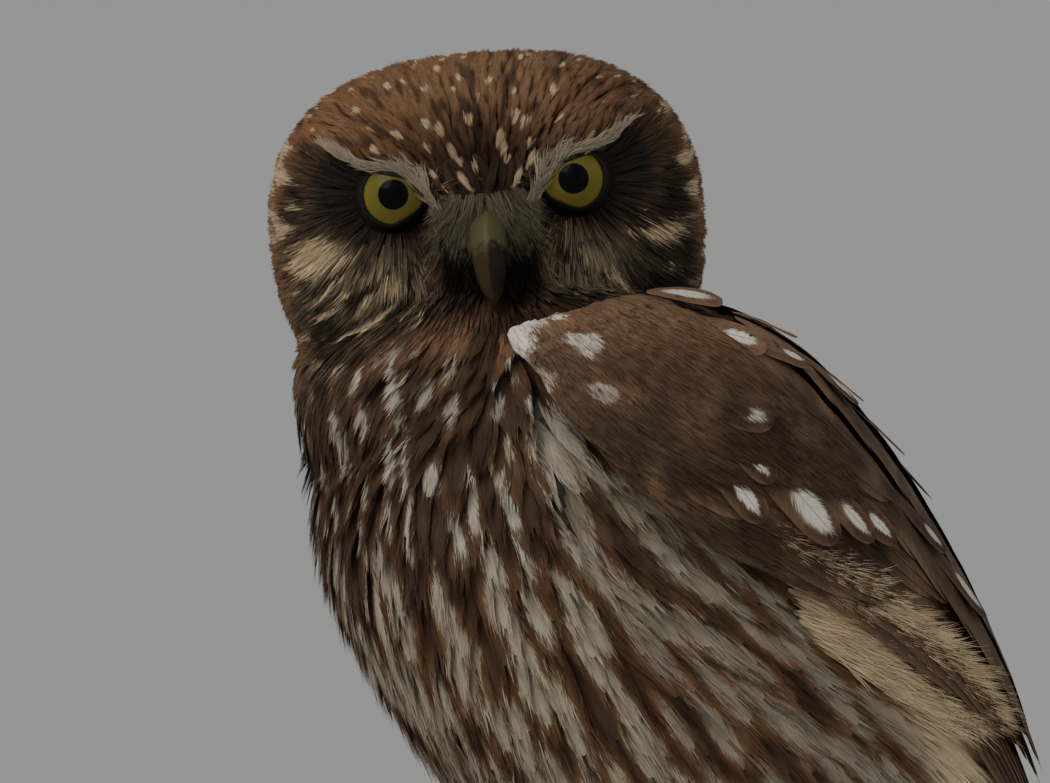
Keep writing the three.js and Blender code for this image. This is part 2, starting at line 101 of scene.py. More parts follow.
def smooth(x, low, high):
    share = np.clip((x - low) / (high - low), 0, 1)
    return share * share * (3 - 2 * share)


def bell(x, middle, width):
    return np.exp(-(((x - middle) / width) ** 2))


def tangent(directions, normals):
    return unit(directions - normals * np.sum(directions * normals, axis=-1, keepdims=True))


def columns(*values):
    """Values, each a number or an array, side by side in rows"""
    return np.stack(np.broadcast_arrays(*values), axis=-1).astype(float)


def seeded(number):
    return np.random.default_rng(number)


def round_angles(count):
    return np.linspace(0, 2 * np.pi, count, endpoint=False)


def line_lengths(lines):
    return np.linalg.norm(np.diff(lines, axis=1), axis=2).sum(axis=1)


def point_tree(points):
    tree = KDTree(len(points))
    for i, p in enumerate(points.tolist()):
        tree.insert(p, i)
    tree.balance()
    return tree


def between(v, shares):
    """The share before each v, and how far v is on from it towards the next one"""
    x = np.interp(v.ravel(), shares, np.arange(len(shares))).reshape(v.shape)
    i = np.minimum(x.astype(int), len(shares) - 2)
    return i, (x - i)[..., None]


def headed(along, turn, degrees):
    """Directions this many degrees from straight down the body towards the back"""
    angle = np.radians(degrees)[:, None]
    return unit(along) * np.cos(angle) + unit(turn) * np.sin(angle)


def hashed(a, b, c, seed):
    """A number from 0 to 1 that looks random, for each set of whole numbers"""
    x = np.sin(a * 12.9898 + b * 78.233 + c * 37.719 + seed * 4.1414) * 43758.5453
    return x - np.floor(x)


def patches(points, size, seed=0):
    """Smooth noise from -1 to 1 in blotches about this many millimetres across"""
    x = points / np.asarray(size, float)
    corner = np.floor(x)
    f = x - corner
    f = f * f * (3 - 2 * f)
    total = 0.0
    for i in (0, 1):
        for j in (0, 1):
            for k in (0, 1):
                near = np.abs(np.array([1 - i, 1 - j, 1 - k]) - f).prod(axis=1)
                total = total + near * hashed(*(corner + np.array([i, j, k])).T, seed)
    return 2 * total - 1


def curve_value(values, t):
    """Smooth interpolation in equally spaced values"""
    values = np.asarray(values, float)
    last = len(values) - 1
    t = np.clip(t, 0, last)
    i = np.minimum(t.astype(int), last - 1)
    f = t - i
    a, b, c, d = (values[np.clip(i + k, 0, last)] for k in (-1, 0, 1, 2))
    return b + 0.5 * f * (c - a + f * (2 * a - 5 * b + 4 * c - d + f * (3 * (b - c) + d - a)))


# The body's forms
def form_point(table, t, around):
    """A point of a table's form. around is 0 at the side, 90 at the back and -90 at the breast."""
    t, around = np.broadcast_arrays(np.asarray(t, float), np.radians(np.asarray(around, float)))
    power = 2 / BODY_SQUARENESS
    across = np.sign(np.cos(around)) * np.abs(np.cos(around)) ** power
    share = 0.5 + np.sign(np.sin(around)) * np.abs(np.sin(around)) ** power / 2
    y = mix(curve_value(table["breast_y"], t), curve_value(table["back_y"], t), share)
    z = mix(curve_value(table["breast_z"], t), curve_value(table["back_z"], t), share)
    return np.stack([curve_value(table["half"], t) * across, y, z], axis=-1)


def form_axes(table, t, around):
    """The steps in millimetres of one station and one degree, and the outward normal"""
    t, around = np.broadcast_arrays(np.asarray(t, float), np.asarray(around, float))
    along = (form_point(table, t + 0.04, around) - form_point(table, t - 0.04, around)) / 0.08
    turn = (form_point(table, t, around + 1) - form_point(table, t, around - 1)) / 2
    return along, turn, unit(np.cross(along, turn))


def bed_point(t, around, lift):
    out = form_axes(WING_BED, t, around)[2]
    return form_point(WING_BED, t, around) + out * np.asarray(lift)[..., None], out


def turning(x_degrees, y_degrees, z_degrees):
    turns = (("Z", z_degrees), ("Y", y_degrees), ("X", x_degrees))
    made = Matrix.Identity(3)
    for axis, angle in turns:
        made = made @ Matrix.Rotation(math.radians(angle), 3, axis)
    return np.array(made)


HEAD = turning(HEAD_NOD, -HEAD_ROLL, HEAD_TURN)
HEAD_AT = np.array([0, 0, EYE_LINE])


def from_head(points):
    return points @ HEAD.T + HEAD_AT


def to_head(points):
    return (points - HEAD_AT) @ HEAD


# The bird's own origin in the shared frame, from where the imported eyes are
eye_boxes = [np.array(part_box(name)) for name in ("eye_left", "eye_right")]
eyes_middle = sum(box.mean(axis=0) for box in eye_boxes) / 2 / MM
BIRD_ORIGIN = eyes_middle - from_head(np.array([0, EYE_DEPTH, 0]))


def to_frame(points):
    return (points + BIRD_ORIGIN) * MM


def brow_height(side):
    """Height of the brow's edge over the eye line, by the distance from the middle of the face"""
    return np.interp(side, [0, 6.5, 10, 13.5, 17.8, 21.5, 27, 34], [-1.6, -1.0, 2.4, 5.0, 5.4, 6.6, 8.4, 9])


def face_relief(x, z):
    side = np.abs(x)
    brow = 3.0 * np.exp(-(((z - brow_height(side) - 1.2) / 3.0) ** 2)) * smooth(34 - side, 0, 16)
    socket = -3.4 * np.exp(-(((side - EYE_SPREAD) / 9) ** 2) - ((z + 2.2) / 7) ** 2)
    bill_base = 2.0 * np.exp(-((side / 6) ** 2) - ((z + 5) / 6) ** 2)
    beside_bill = -1.8 * np.exp(-(((side - 5.5) / 3) ** 2) - ((z + 13) / 5) ** 2)
    cheek = 1.2 * np.exp(-(((side - 27) / 8) ** 2) - ((z + 16) / 10) ** 2)
    return brow + socket + bill_base + beside_bill + cheek


def head_reach(d):
    """How far the head's form is from its middle in these directions"""
    tall = np.where(d[..., 2] > 0, HEAD_CROWN, HEAD_CHIN)
    deep = np.where(d[..., 1] < 0, HEAD_FRONT, HEAD_BACK)
    square, power = HEAD_SQUARENESS, HEAD_DEPTH_POWER
    outline = (np.abs(d[..., 0]) / HEAD_HALF_WIDTH) ** square + (np.abs(d[..., 2]) / tall) ** square
    return (outline ** (power / square) + (np.abs(d[..., 1]) / deep) ** power) ** (-1 / power)


def head_points(d, grow):
    p = d * (head_reach(d) + grow)[..., None]
    front = smooth(-d[..., 1], 0.15, 0.6)
    p = p + d * (front * face_relief(p[..., 0], p[..., 2] + HEAD_MIDDLE))[..., None]
    return p + np.array([0, 0, HEAD_MIDDLE])


def head_level(q):
    """Below 1 inside the head's form, 1 on it and above 1 outside"""
    return 1 / head_reach(q - np.array([0, 0, HEAD_MIDDLE]))


# Meshes
def triangle_mesh(name, points, triangles, in_bird=True):
    """A smooth object from arrays of points and of triangles"""
    mesh = bpy.data.meshes.new(name)
    places = to_frame(points) if in_bird else points
    mesh.vertices.add(len(places))
    mesh.vertices.foreach_set("co", np.asarray(places, np.float32).ravel())
    mesh.loops.add(3 * len(triangles))
    mesh.loops.foreach_set("vertex_index", np.asarray(triangles, np.int32).ravel())
    mesh.polygons.add(len(triangles))
    mesh.polygons.foreach_set("loop_start", np.arange(0, 3 * len(triangles), 3, dtype=np.int32))
    mesh.polygons.foreach_set("use_smooth", np.ones(len(triangles), bool))
    mesh.update(calc_edges=True)
    made = bpy.data.objects.new(name, mesh)
    bpy.context.scene.collection.objects.link(made)
    return made


def set_attribute(mesh, name, values):
    """Three values a point as a vector, four as a colour"""
    colour = values.shape[1] == 4
    made = mesh.attributes.new(name, "BYTE_COLOR" if colour else "FLOAT_VECTOR", "POINT")
    made.data.foreach_set("color" if colour else "vector", np.asarray(values, np.float32).ravel())


def set_uv(mesh, places):
    corners = np.empty(len(mesh.loops), np.int32)
    mesh.loops.foreach_get("vertex_index", corners)
    mesh.uv_layers.new(name="OFBake").data.foreach_set("uv", places[corners].astype(np.float32).ravel())


def walls(rows, count, closed=True):
    """Triangles between rows with equal counts of points"""
    steps = count if closed else count - 1
    i, j = np.meshgrid(np.arange(rows - 1), np.arange(steps), indexing="ij")
    a, b = i * count + j, i * count + (j + 1) % count
    pair = [np.stack([a, b, b + count], -1), np.stack([a, b + count, a + count], -1)]
    return np.concatenate(pair).reshape(-1, 3)


def loft(rings):
    """Points and triangles of a closed skin over rings with equal counts"""
    rings = np.asarray(rings)
    m, n, _ = rings.shape
    points = np.concatenate([rings.reshape(-1, 3), rings[:1].mean(axis=1), rings[-1:].mean(axis=1)])
    k = np.arange(n)
    start = np.stack([(k + 1) % n, k, np.full(n, m * n)], -1)
    end = np.stack([(m - 1) * n + k, (m - 1) * n + (k + 1) % n, np.full(n, m * n + 1)], -1)
    triangles = np.concatenate([walls(m, n), start, end])
    corner = points[triangles]
    volume = np.einsum("ij,ij->i", corner[:, 0], np.cross(corner[:, 1], corner[:, 2])).sum()
    return points, triangles if volume > 0 else triangles[:, ::-1]


def joined(shells):
    points = np.concatenate([p for p, _ in shells])
    starts = np.cumsum([0] + [len(p) for p, _ in shells[:-1]])
    return points, np.concatenate([t + s for (_, t), s in zip(shells, starts)])


def limb(route, sides=20, wide_axis=(1, 0, 0)):
    """A rounded body along points, each with its two radii: (x, y, z, wide, deep)"""
    route = np.asarray(route, float)
    run = unit(np.gradient(route[:, :3], axis=0))
    wide_way = unit(np.cross(run, np.cross(np.asarray(wide_axis, float), run)))
    deep_way = np.cross(run, wide_way)
    angle = round_angles(sides)[None, :, None]
    rings = route[:, None, :3] + wide_way[:, None] * route[:, None, 3:4] * np.cos(angle)
    return loft(rings + deep_way[:, None] * route[:, None, 4:5] * np.sin(angle))


def refined(route, steps):
    """A route with more points, on smooth curves through the given ones"""
    route = np.asarray(route, float)
    at = np.linspace(0, len(route) - 1, steps)
    return np.stack([curve_value(column, at) for column in route.T], axis=-1)


def ball(middle, radii, across=32, down=20):
    tilt = np.linspace(0.02, np.pi - 0.02, down)[:, None]
    spin = round_angles(across)[None]
    shape = columns(np.sin(tilt) * np.cos(spin), np.sin(tilt) * np.sin(spin), np.cos(tilt))
    return loft(shape * np.asarray(radii, float) + np.asarray(middle, float))


def mirror(shell, side):
    points, triangles = shell
    return (points, triangles) if side > 0 else (points * np.array([-1, 1, 1]), triangles[:, ::-1])


# The skin, which lies inside the flesh's solids by the coat's depth
BODY_COAT, HEAD_COAT, LEG_COAT, TOE_COAT = 4.6, 2.4, 1.6, 0.35


def torso_shell():
    t = np.linspace(0.12, 10, 44)[:, None]
    around = np.linspace(0, 360, 64, endpoint=False)[None]
    p = form_point(STATIONS, t, around)
    middle = (form_point(STATIONS, t, 90) + form_point(STATIONS, t, -90)) / 2
    return loft(p - unit(p - middle) * BODY_COAT)


def head_shell():
    tilt = np.pi * np.linspace(0.01, 0.99, 60)[:, None]
    spin = round_angles(96)[None]
    d = columns(np.sin(tilt) * np.cos(spin), -np.cos(tilt), np.sin(tilt) * np.sin(spin))
    return loft(from_head(head_points(d, -HEAD_COAT)))


def leg_shell():
    c = LEG_COAT
    route = [
        (FOOT_SPREAD - 3, FOOT_Y + 9, 46, 11 - c, 12 - c),
        (FOOT_SPREAD - 2, FOOT_Y + 7, 34, 11 - c, 12 - c),
        (FOOT_SPREAD - 1, FOOT_Y + 4, 25, 8.5 - c, 9 - c),
        (FOOT_SPREAD, FOOT_Y + 1.5, 17, 5.6 - c, 6 - c),
        (FOOT_SPREAD, FOOT_Y, 11, 4.4 - c, 4.8 - c),
        (FOOT_SPREAD, FOOT_Y, 4, 4.2 - c, 4.6 - c),
    ]
    return limb(refined(route, 24))


def toe_heading(heading):
    return np.array([math.sin(math.radians(heading)), -math.cos(math.radians(heading)), 0])


def toe_shell(heading, length):
    run = toe_heading(heading)
    ankle = np.array([FOOT_SPREAD, FOOT_Y, 0])
    r = TOE_THICKNESS / 2 - TOE_COAT
    bends = [
        (-0.05, 5.0, 2.6), (0.3, r + 0.3, r + 0.4), (0.5, r - 0.1, r - 0.1),
        (0.7, r, r + 0.15), (0.86, r - 0.2, r - 0.2), (1, r + 0.1, r * 0.66),
    ]
    route = [(*(ankle + run * length * share)[:2], z, radius, radius) for share, z, radius in bends]
    return limb(refined(route, 20), 16, np.cross(run, (0, 0, 1)))


def skin_object():
    shells = [torso_shell(), head_shell(), ball((-3, 4, 122), (30.5, 29.5, 24))]
    for _, side in SIDES:
        shells.append(mirror(leg_shell(), side))
        shells.append(mirror(ball((FOOT_SPREAD, FOOT_Y, 4.2), (4.6, 5, 4)), side))
        shells += [mirror(toe_shell(heading, length), side) for _, heading, length in TOES]
    made = triangle_mesh("skin_rough", *joined(shells))
    remesh = made.modifiers.new("one_skin", "REMESH")
    remesh.mode, remesh.voxel_size = "VOXEL", SKIN_VOXEL * MM
    even = made.modifiers.new("even", "SMOOTH")
    even.factor, even.iterations = 0.5, 7
    bpy.context.view_layer.update()
    mesh = bpy.data.meshes.new_from_object(made.evaluated_get(bpy.context.evaluated_depsgraph_get()))
    bpy.data.objects.remove(made)
    made = bpy.data.objects.new("skin", mesh)
    bpy.context.scene.collection.objects.link(made)
    mesh.polygons.foreach_set("use_smooth", np.ones(len(mesh.polygons), bool))
    return made


class Surface:
    """The skin as arrays in bird millimetres, with its nearest points and smooth normals"""

    def __init__(self, mesh):
        mesh.calc_loop_triangles()
        places, normals = (np.empty(3 * len(mesh.vertices), np.float32) for _ in range(2))
        mesh.vertices.foreach_get("co", places)
        mesh.vertices.foreach_get("normal", normals)
        corners = np.empty(3 * len(mesh.loop_triangles), np.int32)
        mesh.loop_triangles.foreach_get("vertices", corners)
        self.points = places.reshape(-1, 3).astype(float) / MM - BIRD_ORIGIN
        self.triangles = corners.reshape(-1, 3)
        self.normals = unit(normals.reshape(-1, 3).astype(float)[self.triangles].mean(axis=1))
        self.tree = BVHTree.FromPolygons(self.points.tolist(), self.triangles.tolist())

    def nearest(self, points):
        found = [self.tree.find_nearest(p) for p in points.tolist()]
        return np.array([f[0] for f in found]), self.normals[[f[2] for f in found]]

    def scatter(self, count, rng):
        a, b, c = (self.points[self.triangles[:, k]] for k in range(3))
        area = np.linalg.norm(np.cross(b - a, c - a), axis=1)
        face = rng.choice(len(area), count, p=area / area.sum())
        u, v = rng.random(count), rng.random(count)
        u, v = np.where(u + v > 1, 1 - u, u), np.where(u + v > 1, 1 - v, v)
        places = a[face] + (b[face] - a[face]) * u[:, None] + (c[face] - a[face]) * v[:, None]
        return places, self.normals[face]

    def seen_from_front(self, x, z):
        """Places on the face at these distances to the side and heights, with normals"""
        starts = from_head(columns(x, -60.0, z))
        way = Vector(HEAD @ np.array([0, 1.0, 0]))
        found = [self.tree.ray_cast(Vector(p), way) for p in starts.tolist()]
        return np.array([f[0] for f in found]), self.normals[[f[2] for f in found]]


skin = skin_object()
surface = Surface(skin.data)

# How the coat lies on the body: station, turn, and degrees from straight down the body towards the back
LIE = np.array([
    (1.2, -85, -6), (1.5, -66, -24), (1.7, -50, -16), (1.7, -36, 56), (1.4, -10, 74), (1.6, 20, 60),
    (2.3, -46, -2), (2.2, -27, 60), (2.5, -85, -4), (3.1, -68, 4), (3.4, -44, 12), (3.2, -26, 32),
    (3.0, 0, 48), (3.9, -60, -3), (3.9, -22, 32), (4.5, -8, 36), (4.8, -38, 6), (4.6, 20, 50),
    (5.4, -28, 4), (5.3, 0, 24), (5.2, 30, 44), (5.6, -62, -12), (7, -80, 0), (7, -20, 4),
    (7, 30, 10), (2.5, 70, 4), (5, 80, 0),
])
GRID = (121, 91)


def grid_value(field, t, around):
    x = np.clip(t / 10, 0, 0.9999) * (GRID[0] - 1)
    y = np.clip(around / 180 + 0.5, 0, 0.9999) * (GRID[1] - 1)
    i, j = x.astype(int), y.astype(int)
    f, g = x - i, y - j
    return mix(mix(field[i, j], field[i + 1, j], f), mix(field[i, j + 1], field[i + 1, j + 1], f), g)


class BodyMap:
    """Where a place is on the body: its station and its turn, with the coat's lie there"""

    def __init__(self):
        grid = (np.linspace(0, 10, GRID[0]), np.linspace(-90, 90, GRID[1]))
        t, around = np.meshgrid(*grid, indexing="ij")
        self.t, self.around = t.ravel(), around.ravel()
        self.points = form_point(STATIONS, self.t, self.around)
        self.along, self.turn, _ = form_axes(STATIONS, self.t, self.around)
        self.tree = point_tree(self.points)
        far = ((t[..., None] - LIE[:, 0]) / 0.5) ** 2 + ((around[..., None] - LIE[:, 1]) / 13) ** 2
        share = np.exp(-far) + 1e-8
        self.heading = (share * LIE[:, 2]).sum(axis=2) / share.sum(axis=2)

    def find(self, points):
        side = np.where(points[:, 0] < 0, -1.0, 1.0)
        flip = columns(side, 1, 1)
        folded = points * flip
        index = np.array([self.tree.find(p)[1] for p in folded.tolist()])
        along, turn = self.along[index], self.turn[index]
        off = folded - self.points[index]
        more_t = (off * along).sum(axis=1) / (along * along).sum(axis=1)
        more_around = (off * turn).sum(axis=1) / np.maximum((turn * turn).sum(axis=1), 0.01)
        t = np.clip(self.t[index] + np.clip(more_t, -0.1, 0.1), 0, 10)
        around = np.clip(self.around[index] + np.clip(more_around, -2, 2), -90, 90)
        return t, around, unit(along * flip), unit(turn * flip), side


body_map = BodyMap()
BILL_ROOT = np.array([0, -22.0, -6.0])
LORE_TOP = np.array([0, -22.5, 1.6])


def head_zones(q):
    """How strongly each place of the head belongs to its zones, from 0 to 1"""
    wide, height, front = np.abs(q[:, 0]), q[:, 2], -q[:, 1]
    from_eye = np.hypot(wide - EYE_SPREAD, height)
    facing = smooth(front, 5, 12)
    above = smooth(height - brow_height(wide), -0.5, 1.0)
    face = facing * (1 - above)
    zones = {"wide": wide, "height": height, "front": front, "from_eye": from_eye, "face": face}
    zones["crown"] = np.maximum(above, 1 - facing) * smooth(height, -16, -2)
    zones["forehead"] = above * facing * bell(wide, 0, 14) * smooth(16 - height, 0, 12)
    zones["lores"] = face * smooth(9.5 - wide, 0, 2.5) * smooth(height, -10.5, -7.5)
    beside = smooth(10 - wide, 0, 3) * smooth(-height, 7.5, 10.5) * smooth(height, -22, -18)
    zones["beside_bill"] = face * beside
    reach = mix(9.5, 14, smooth(wide, EYE_SPREAD - 2, EYE_SPREAD + 7)) - 3 * smooth(-height, 2, 8)
    zones["socket"] = face * (1 - smooth(from_eye, reach - 2.5, reach + 2))
    zones["nape"] = (1 - facing) * (1 - smooth(height, -16, -2))
    zones["cheek"] = np.clip(face - zones["lores"] - zones["beside_bill"] - zones["socket"], 0, 1)
    return zones


def head_lie(q, zones):
    """Directions of the coat on the head, in the head's own frame"""
    side = np.where(q[:, 0] < 0, -1.0, 1.0)
    away = unit(q - BILL_ROOT)
    from_eye = q - columns(side * EYE_SPREAD, EYE_DEPTH, 0)
    disc = (zones["face"] * (1 - smooth(zones["from_eye"], 11, 20)))[:, None]
    made = mix(away, unit(from_eye), disc)
    fan = unit((q - LORE_TOP) * np.array([1.15, 0.4, 1]) + np.array([0, -0.4, -0.6]))
    made = mix(made, fan, np.clip(zones["lores"] + zones["beside_bill"], 0, 1)[:, None])
    down = columns(side * 0.55, 0.3, -0.75)
    sink = smooth(-q[:, 2], 8, 26) * smooth(zones["wide"], 5, 18) * smooth(zones["front"], -24, 4)
    return unit(made + down * sink[:, None] * 1.1)


def coat_lie(points, normals):
    """Directions of the coat anywhere on the skin"""
    q = to_head(points)
    t, around, along, turn, _ = body_map.find(points)
    heading = np.radians(grid_value(body_map.heading, t, around))[:, None]
    on_body = along * np.cos(heading) + turn * np.sin(heading)
    on_head = (1 - smooth(head_level(q), 0.98, 1.12))[:, None]
    made = mix(on_body, head_lie(q, head_zones(q)) @ HEAD.T, on_head)
    on_leg = smooth(LEG_TOP - points[:, 2], 0, 8)[:, None]
    return tangent(mix(made, np.array([0, -0.15, -1.0]), on_leg), normals)


SPACING_STEP, CLOSEST, CELLS_WIDE = 1.18, 0.72, 8192


def thinned(points, spacing, rng):
    """Indices of points that keep about the spacing to one another"""
    kept = []
    classes = np.round(np.log(spacing) / math.log(SPACING_STEP)).astype(int)
    near = (-1, 0, 1)
    shifts = [(i * CELLS_WIDE + j) * CELLS_WIDE + k for i in near for j in near for k in near]
    for level in np.unique(classes):
        step = SPACING_STEP ** level
        index = rng.permutation(np.flatnonzero(classes == level))
        cell = np.floor(points[index] / step).astype(np.int64) + CELLS_WIDE // 2
        key = (cell[:, 0] * CELLS_WIDE + cell[:, 1]) * CELLS_WIDE + cell[:, 2]
        key, first = np.unique(key, return_index=True)
        index = index[first]
        alive = np.ones(len(index), bool)
        for shift in (s for s in shifts if s > 0):
            at = np.clip(np.searchsorted(key, key + shift), 0, len(key) - 1)
            met = (key[at] == key + shift) & alive & alive[at]
            close = np.linalg.norm(points[index] - points[index[at]], axis=1) < CLOSEST * step
            alive[met & close] = False
        kept.append(index[alive])
    return np.concatenate(kept)


# Colours, as sRGB values of the bare pigment
def paint(red, green, blue):
    c = np.array([red, green, blue]) / 255
    return np.where(c <= 0.04045, c / 12.92, ((c + 0.055) / 1.055) ** 2.4)


COLOURS = {
    "crown": paint(122, 92, 66), "crown_dark": paint(78, 58, 43), "rufous": paint(134, 94, 64),
    "forehead": paint(28, 21, 15), "buff": paint(180, 158, 126), "white": paint(208, 201, 188),
    "brow": paint(158, 146, 124), "lores": paint(98, 90, 70), "socket": paint(42, 37, 31),
    "black": paint(24, 20, 17), "cheek": paint(86, 72, 57), "cheek_dark": paint(40, 32, 24),
    "olive": paint(130, 118, 92), "collar": paint(118, 88, 64), "breast": paint(94, 72, 53),
    "dark": paint(54, 40, 30), "orange": paint(122, 88, 58), "cream": paint(172, 160, 134),
    "grey_white": paint(140, 130, 110), "tuft": paint(212, 190, 154), "wing": paint(84, 64, 48),
    "wing_dark": paint(58, 43, 32), "shoulder": paint(122, 94, 70), "leg": paint(196, 184, 162),
    "tail": paint(90, 70, 54), "far_wing": paint(134, 108, 82),
}
LOOK = ("tone", "deep", "pale", "marks")


def colour(name, count):
    return np.broadcast_to(COLOURS[name], (count, 3)).copy()


def blend(base, other, share):
    other = COLOURS[other] if isinstance(other, str) else other
    return mix(base, other, np.clip(share, 0, 1)[:, None])


def as_look(*values):
    """Three pigments, and marks: inside a pale mark, inside a dark one, and the hairs' contrast"""
    return dict(zip(LOOK, values))


class Spots:
    """Drops at chosen places: 1 in the middle of a drop, 0 on its edge, less outside"""

    def __init__(self, places, ways, normals, half_long, half_wide, among=2):
        self.among = among
        self.places, self.ways = places, tangent(ways, normals)
        self.across = np.cross(self.ways, normals)
        self.half_long, self.half_wide = half_long, half_wide
        self.tree = point_tree(places)

    def value(self, points):
        """The value at each point, and the index of the nearest drop"""
        best = np.full(len(points), -2.0)
        found = [self.tree.find_n(p, self.among) for p in points.tolist()]
        for rank in reversed(range(self.among)):
            i = np.array([f[rank][1] for f in found], int)
            off = points - self.places[i]
            along = (off * self.ways[i]).sum(axis=1) / self.half_long[i]
            across = (off * self.across[i]).sum(axis=1) / self.half_wide[i]
            reach = np.hypot(across * (1 - 0.3 * np.clip(along, -1, 1)), along)
            best = np.maximum(best, 1 - reach)
        return best, i


def crown_spots():
    """Pale drops of the crown: long and narrow over the forehead, rounder and smaller to the sides"""
    rng = seeded(5)
    places, normals = surface.scatter(SPOT_SAMPLES, rng)
    q = to_head(places)
    zones = head_zones(q)
    edge = q[:, 2] - brow_height(np.abs(q[:, 0]))
    keep = (head_level(q) < 1.02) & (zones["crown"] > 0.7) & (q[:, 2] > -8)
    keep = keep & ((edge > 1.5) | (zones["front"] < 6))
    places, normals = places[keep], normals[keep]
    zones = {name: values[keep] for name, values in zones.items()}
    spacing = 4.6 - 1.3 * zones["forehead"] + 0.9 * smooth(-zones["front"], -4, 12)
    i = thinned(places, spacing - 0.9 * smooth(zones["wide"], 20, 30), rng)
    i = i[rng.random(len(i)) < 0.86]
    forehead, size = zones["forehead"][i], rng.uniform(0.75, 1.2, len(i))
    half_long, half_wide = mix(1.0, 1.9, forehead) * size, mix(0.68, 0.62, forehead) * size
    ways = coat_lie(places[i], normals[i])
    return Spots(places[i] + normals[i] * 1.9, ways, normals[i], half_long, half_wide)


def body_spots():
    """Pale drops of the breast, which grow into long streaks down the belly and over the flanks"""
    rng = seeded(6)
    places, normals = surface.scatter(SPOT_SAMPLES, rng)
    t, around, _, _, _ = body_map.find(places)
    keep = (head_level(to_head(places)) > 1.05) & (t > 1.6) & (around < 50) & (places[:, 2] > 30)
    places, normals, t, around = places[keep], normals[keep], t[keep], around[keep]
    lower, flank = smooth(t, 3.3, 5.0), smooth(around, -42, -24) * smooth(t, 2.6, 3.4)
    i = thinned(places, mix(mix(6.4, 6.0, lower), 6.2, flank), rng)
    lower, flank, size = lower[i], flank[i], rng.uniform(0.75, 1.2, len(i))
    half_wide = mix(mix(1.35, 1.9, lower), 1.7, flank) * size
    half_long = mix(mix(3.2, 7.0, lower), 9.5, flank) * size
    ways = coat_lie(places[i], normals[i])
    return Spots(places[i] + normals[i] * 3, ways, normals[i], half_long, half_wide, 6)


crown_marks, body_marks = crown_spots(), body_spots()


def head_paint(points):
    q = to_head(points)
    zones = head_zones(q)
    n = len(points)
    wide, height = zones["wide"], zones["height"]
    broad, fine = patches(points, 9), patches(points, 2.2, 7)
    radius = np.hypot(q[:, 0], height + 6)
    angle = np.arctan2(q[:, 0], height + 6)
    flecks = patches(columns(angle * 26, radius / 2.6, q[:, 1] / 9), 1.0, 3)
    dark_flecks = patches(columns(angle * 26, radius / 2.6, 4), 1.0, 9)

    tone = blend(colour("crown", n), "rufous", 0.4 + broad)
    tone = blend(tone, "crown_dark", 0.18 + 0.3 * broad - 0.2 * fine)
    # Painted shade: the crown darkens towards the bird's left side, the side turned away from the key light
    tone = blend(tone, "crown_dark", 0.5 * smooth(q[:, 0], 5, 26) * zones["crown"])
    tone = blend(tone, "forehead", zones["forehead"] * 0.95)
    deep = blend(colour("crown_dark", n), "forehead", zones["forehead"] + 0.2)
    pale = blend(colour("buff", n), "crown", 0.3 * zones["forehead"])
    pale_value = np.where(zones["crown"] > 0.5, crown_marks.value(points)[0], -1)
    deep_value = flecks * 0.9 - 0.35
    rim = smooth(wide, 26, 33) * smooth(height, -20, -8) * smooth(18 - height, 0, 6)
    pale_value = np.maximum(pale_value, flecks * 1.3 - 0.05 - 1.8 * (1 - rim))

    cheek = zones["cheek"]
    # The cheek darkens with its own fine flecks, and with painted shade towards the bird's left side, which
    # is turned away from the key light
    cheek_tone = blend(colour("cheek", n), "cheek_dark", 0.4 + 0.8 * fine + 0.7 * smooth(q[:, 0], 0, 20))
    under_eye = bell(height, -13, 5) * bell(wide, 15, 8)
    cheek_tone = blend(cheek_tone, "olive", 0.9 * under_eye + 0.5 * broad - 0.15)
    tone = mix(tone, cheek_tone, cheek[:, None])
    deep = mix(deep, colour("cheek_dark", n), cheek[:, None])
    # Painted light: the pale patch and the cheek's pale flecks grow stronger on the bird's right side, which
    # faces the key light
    lit_side = smooth(-q[:, 0], 0, 20)
    patch = np.exp(-(((wide - 29) / 4.5) ** 2) - ((height + 10) / 3.5) ** 2) * mix(0.55, 1, lit_side)
    cheek_pale = flecks * 1.3 - mix(0.75, 0.45, lit_side)
    cheek_pale = np.maximum(cheek_pale, 1.5 * patch - 0.5 + 0.4 * flecks)
    pale_value = mix(pale_value, cheek_pale, cheek)
    deep_value = mix(deep_value, dark_flecks * 1.2 - 0.35, cheek)

    nape = zones["nape"]
    tone = mix(tone, blend(colour("breast", n), "crown", 0.5 + 0.6 * broad), nape[:, None])
    pale_value = mix(pale_value, flecks * 1.6 - 0.7, nape)
    # The ring round each eye is darkened: partly the face's own dark feathering, partly painted shade under
    # the brow and in the eye's hollow
    tone = blend(tone, "socket", zones["socket"] * 1.15)
    tone = blend(tone, "lores", zones["lores"])
    # Near-black beside the bill: partly its dark bristles, partly painted shade in the hollow beside the bill
    tone = blend(tone, "black", zones["beside_bill"] * 0.9)
    plain = np.maximum.reduce([zones["socket"], zones["lores"], zones["beside_bill"]])
    pale_value, deep_value = mix(pale_value, -1.0, plain), mix(deep_value, -1.0, plain)
    return as_look(tone, deep, pale, columns(pale_value, deep_value, mix(0.75, 0.9, zones["face"])))


WHITE_LINE = np.array([(1.7, -75), (2.3, -72.3), (2.9, -70), (3.4, -69), (3.95, -70)])


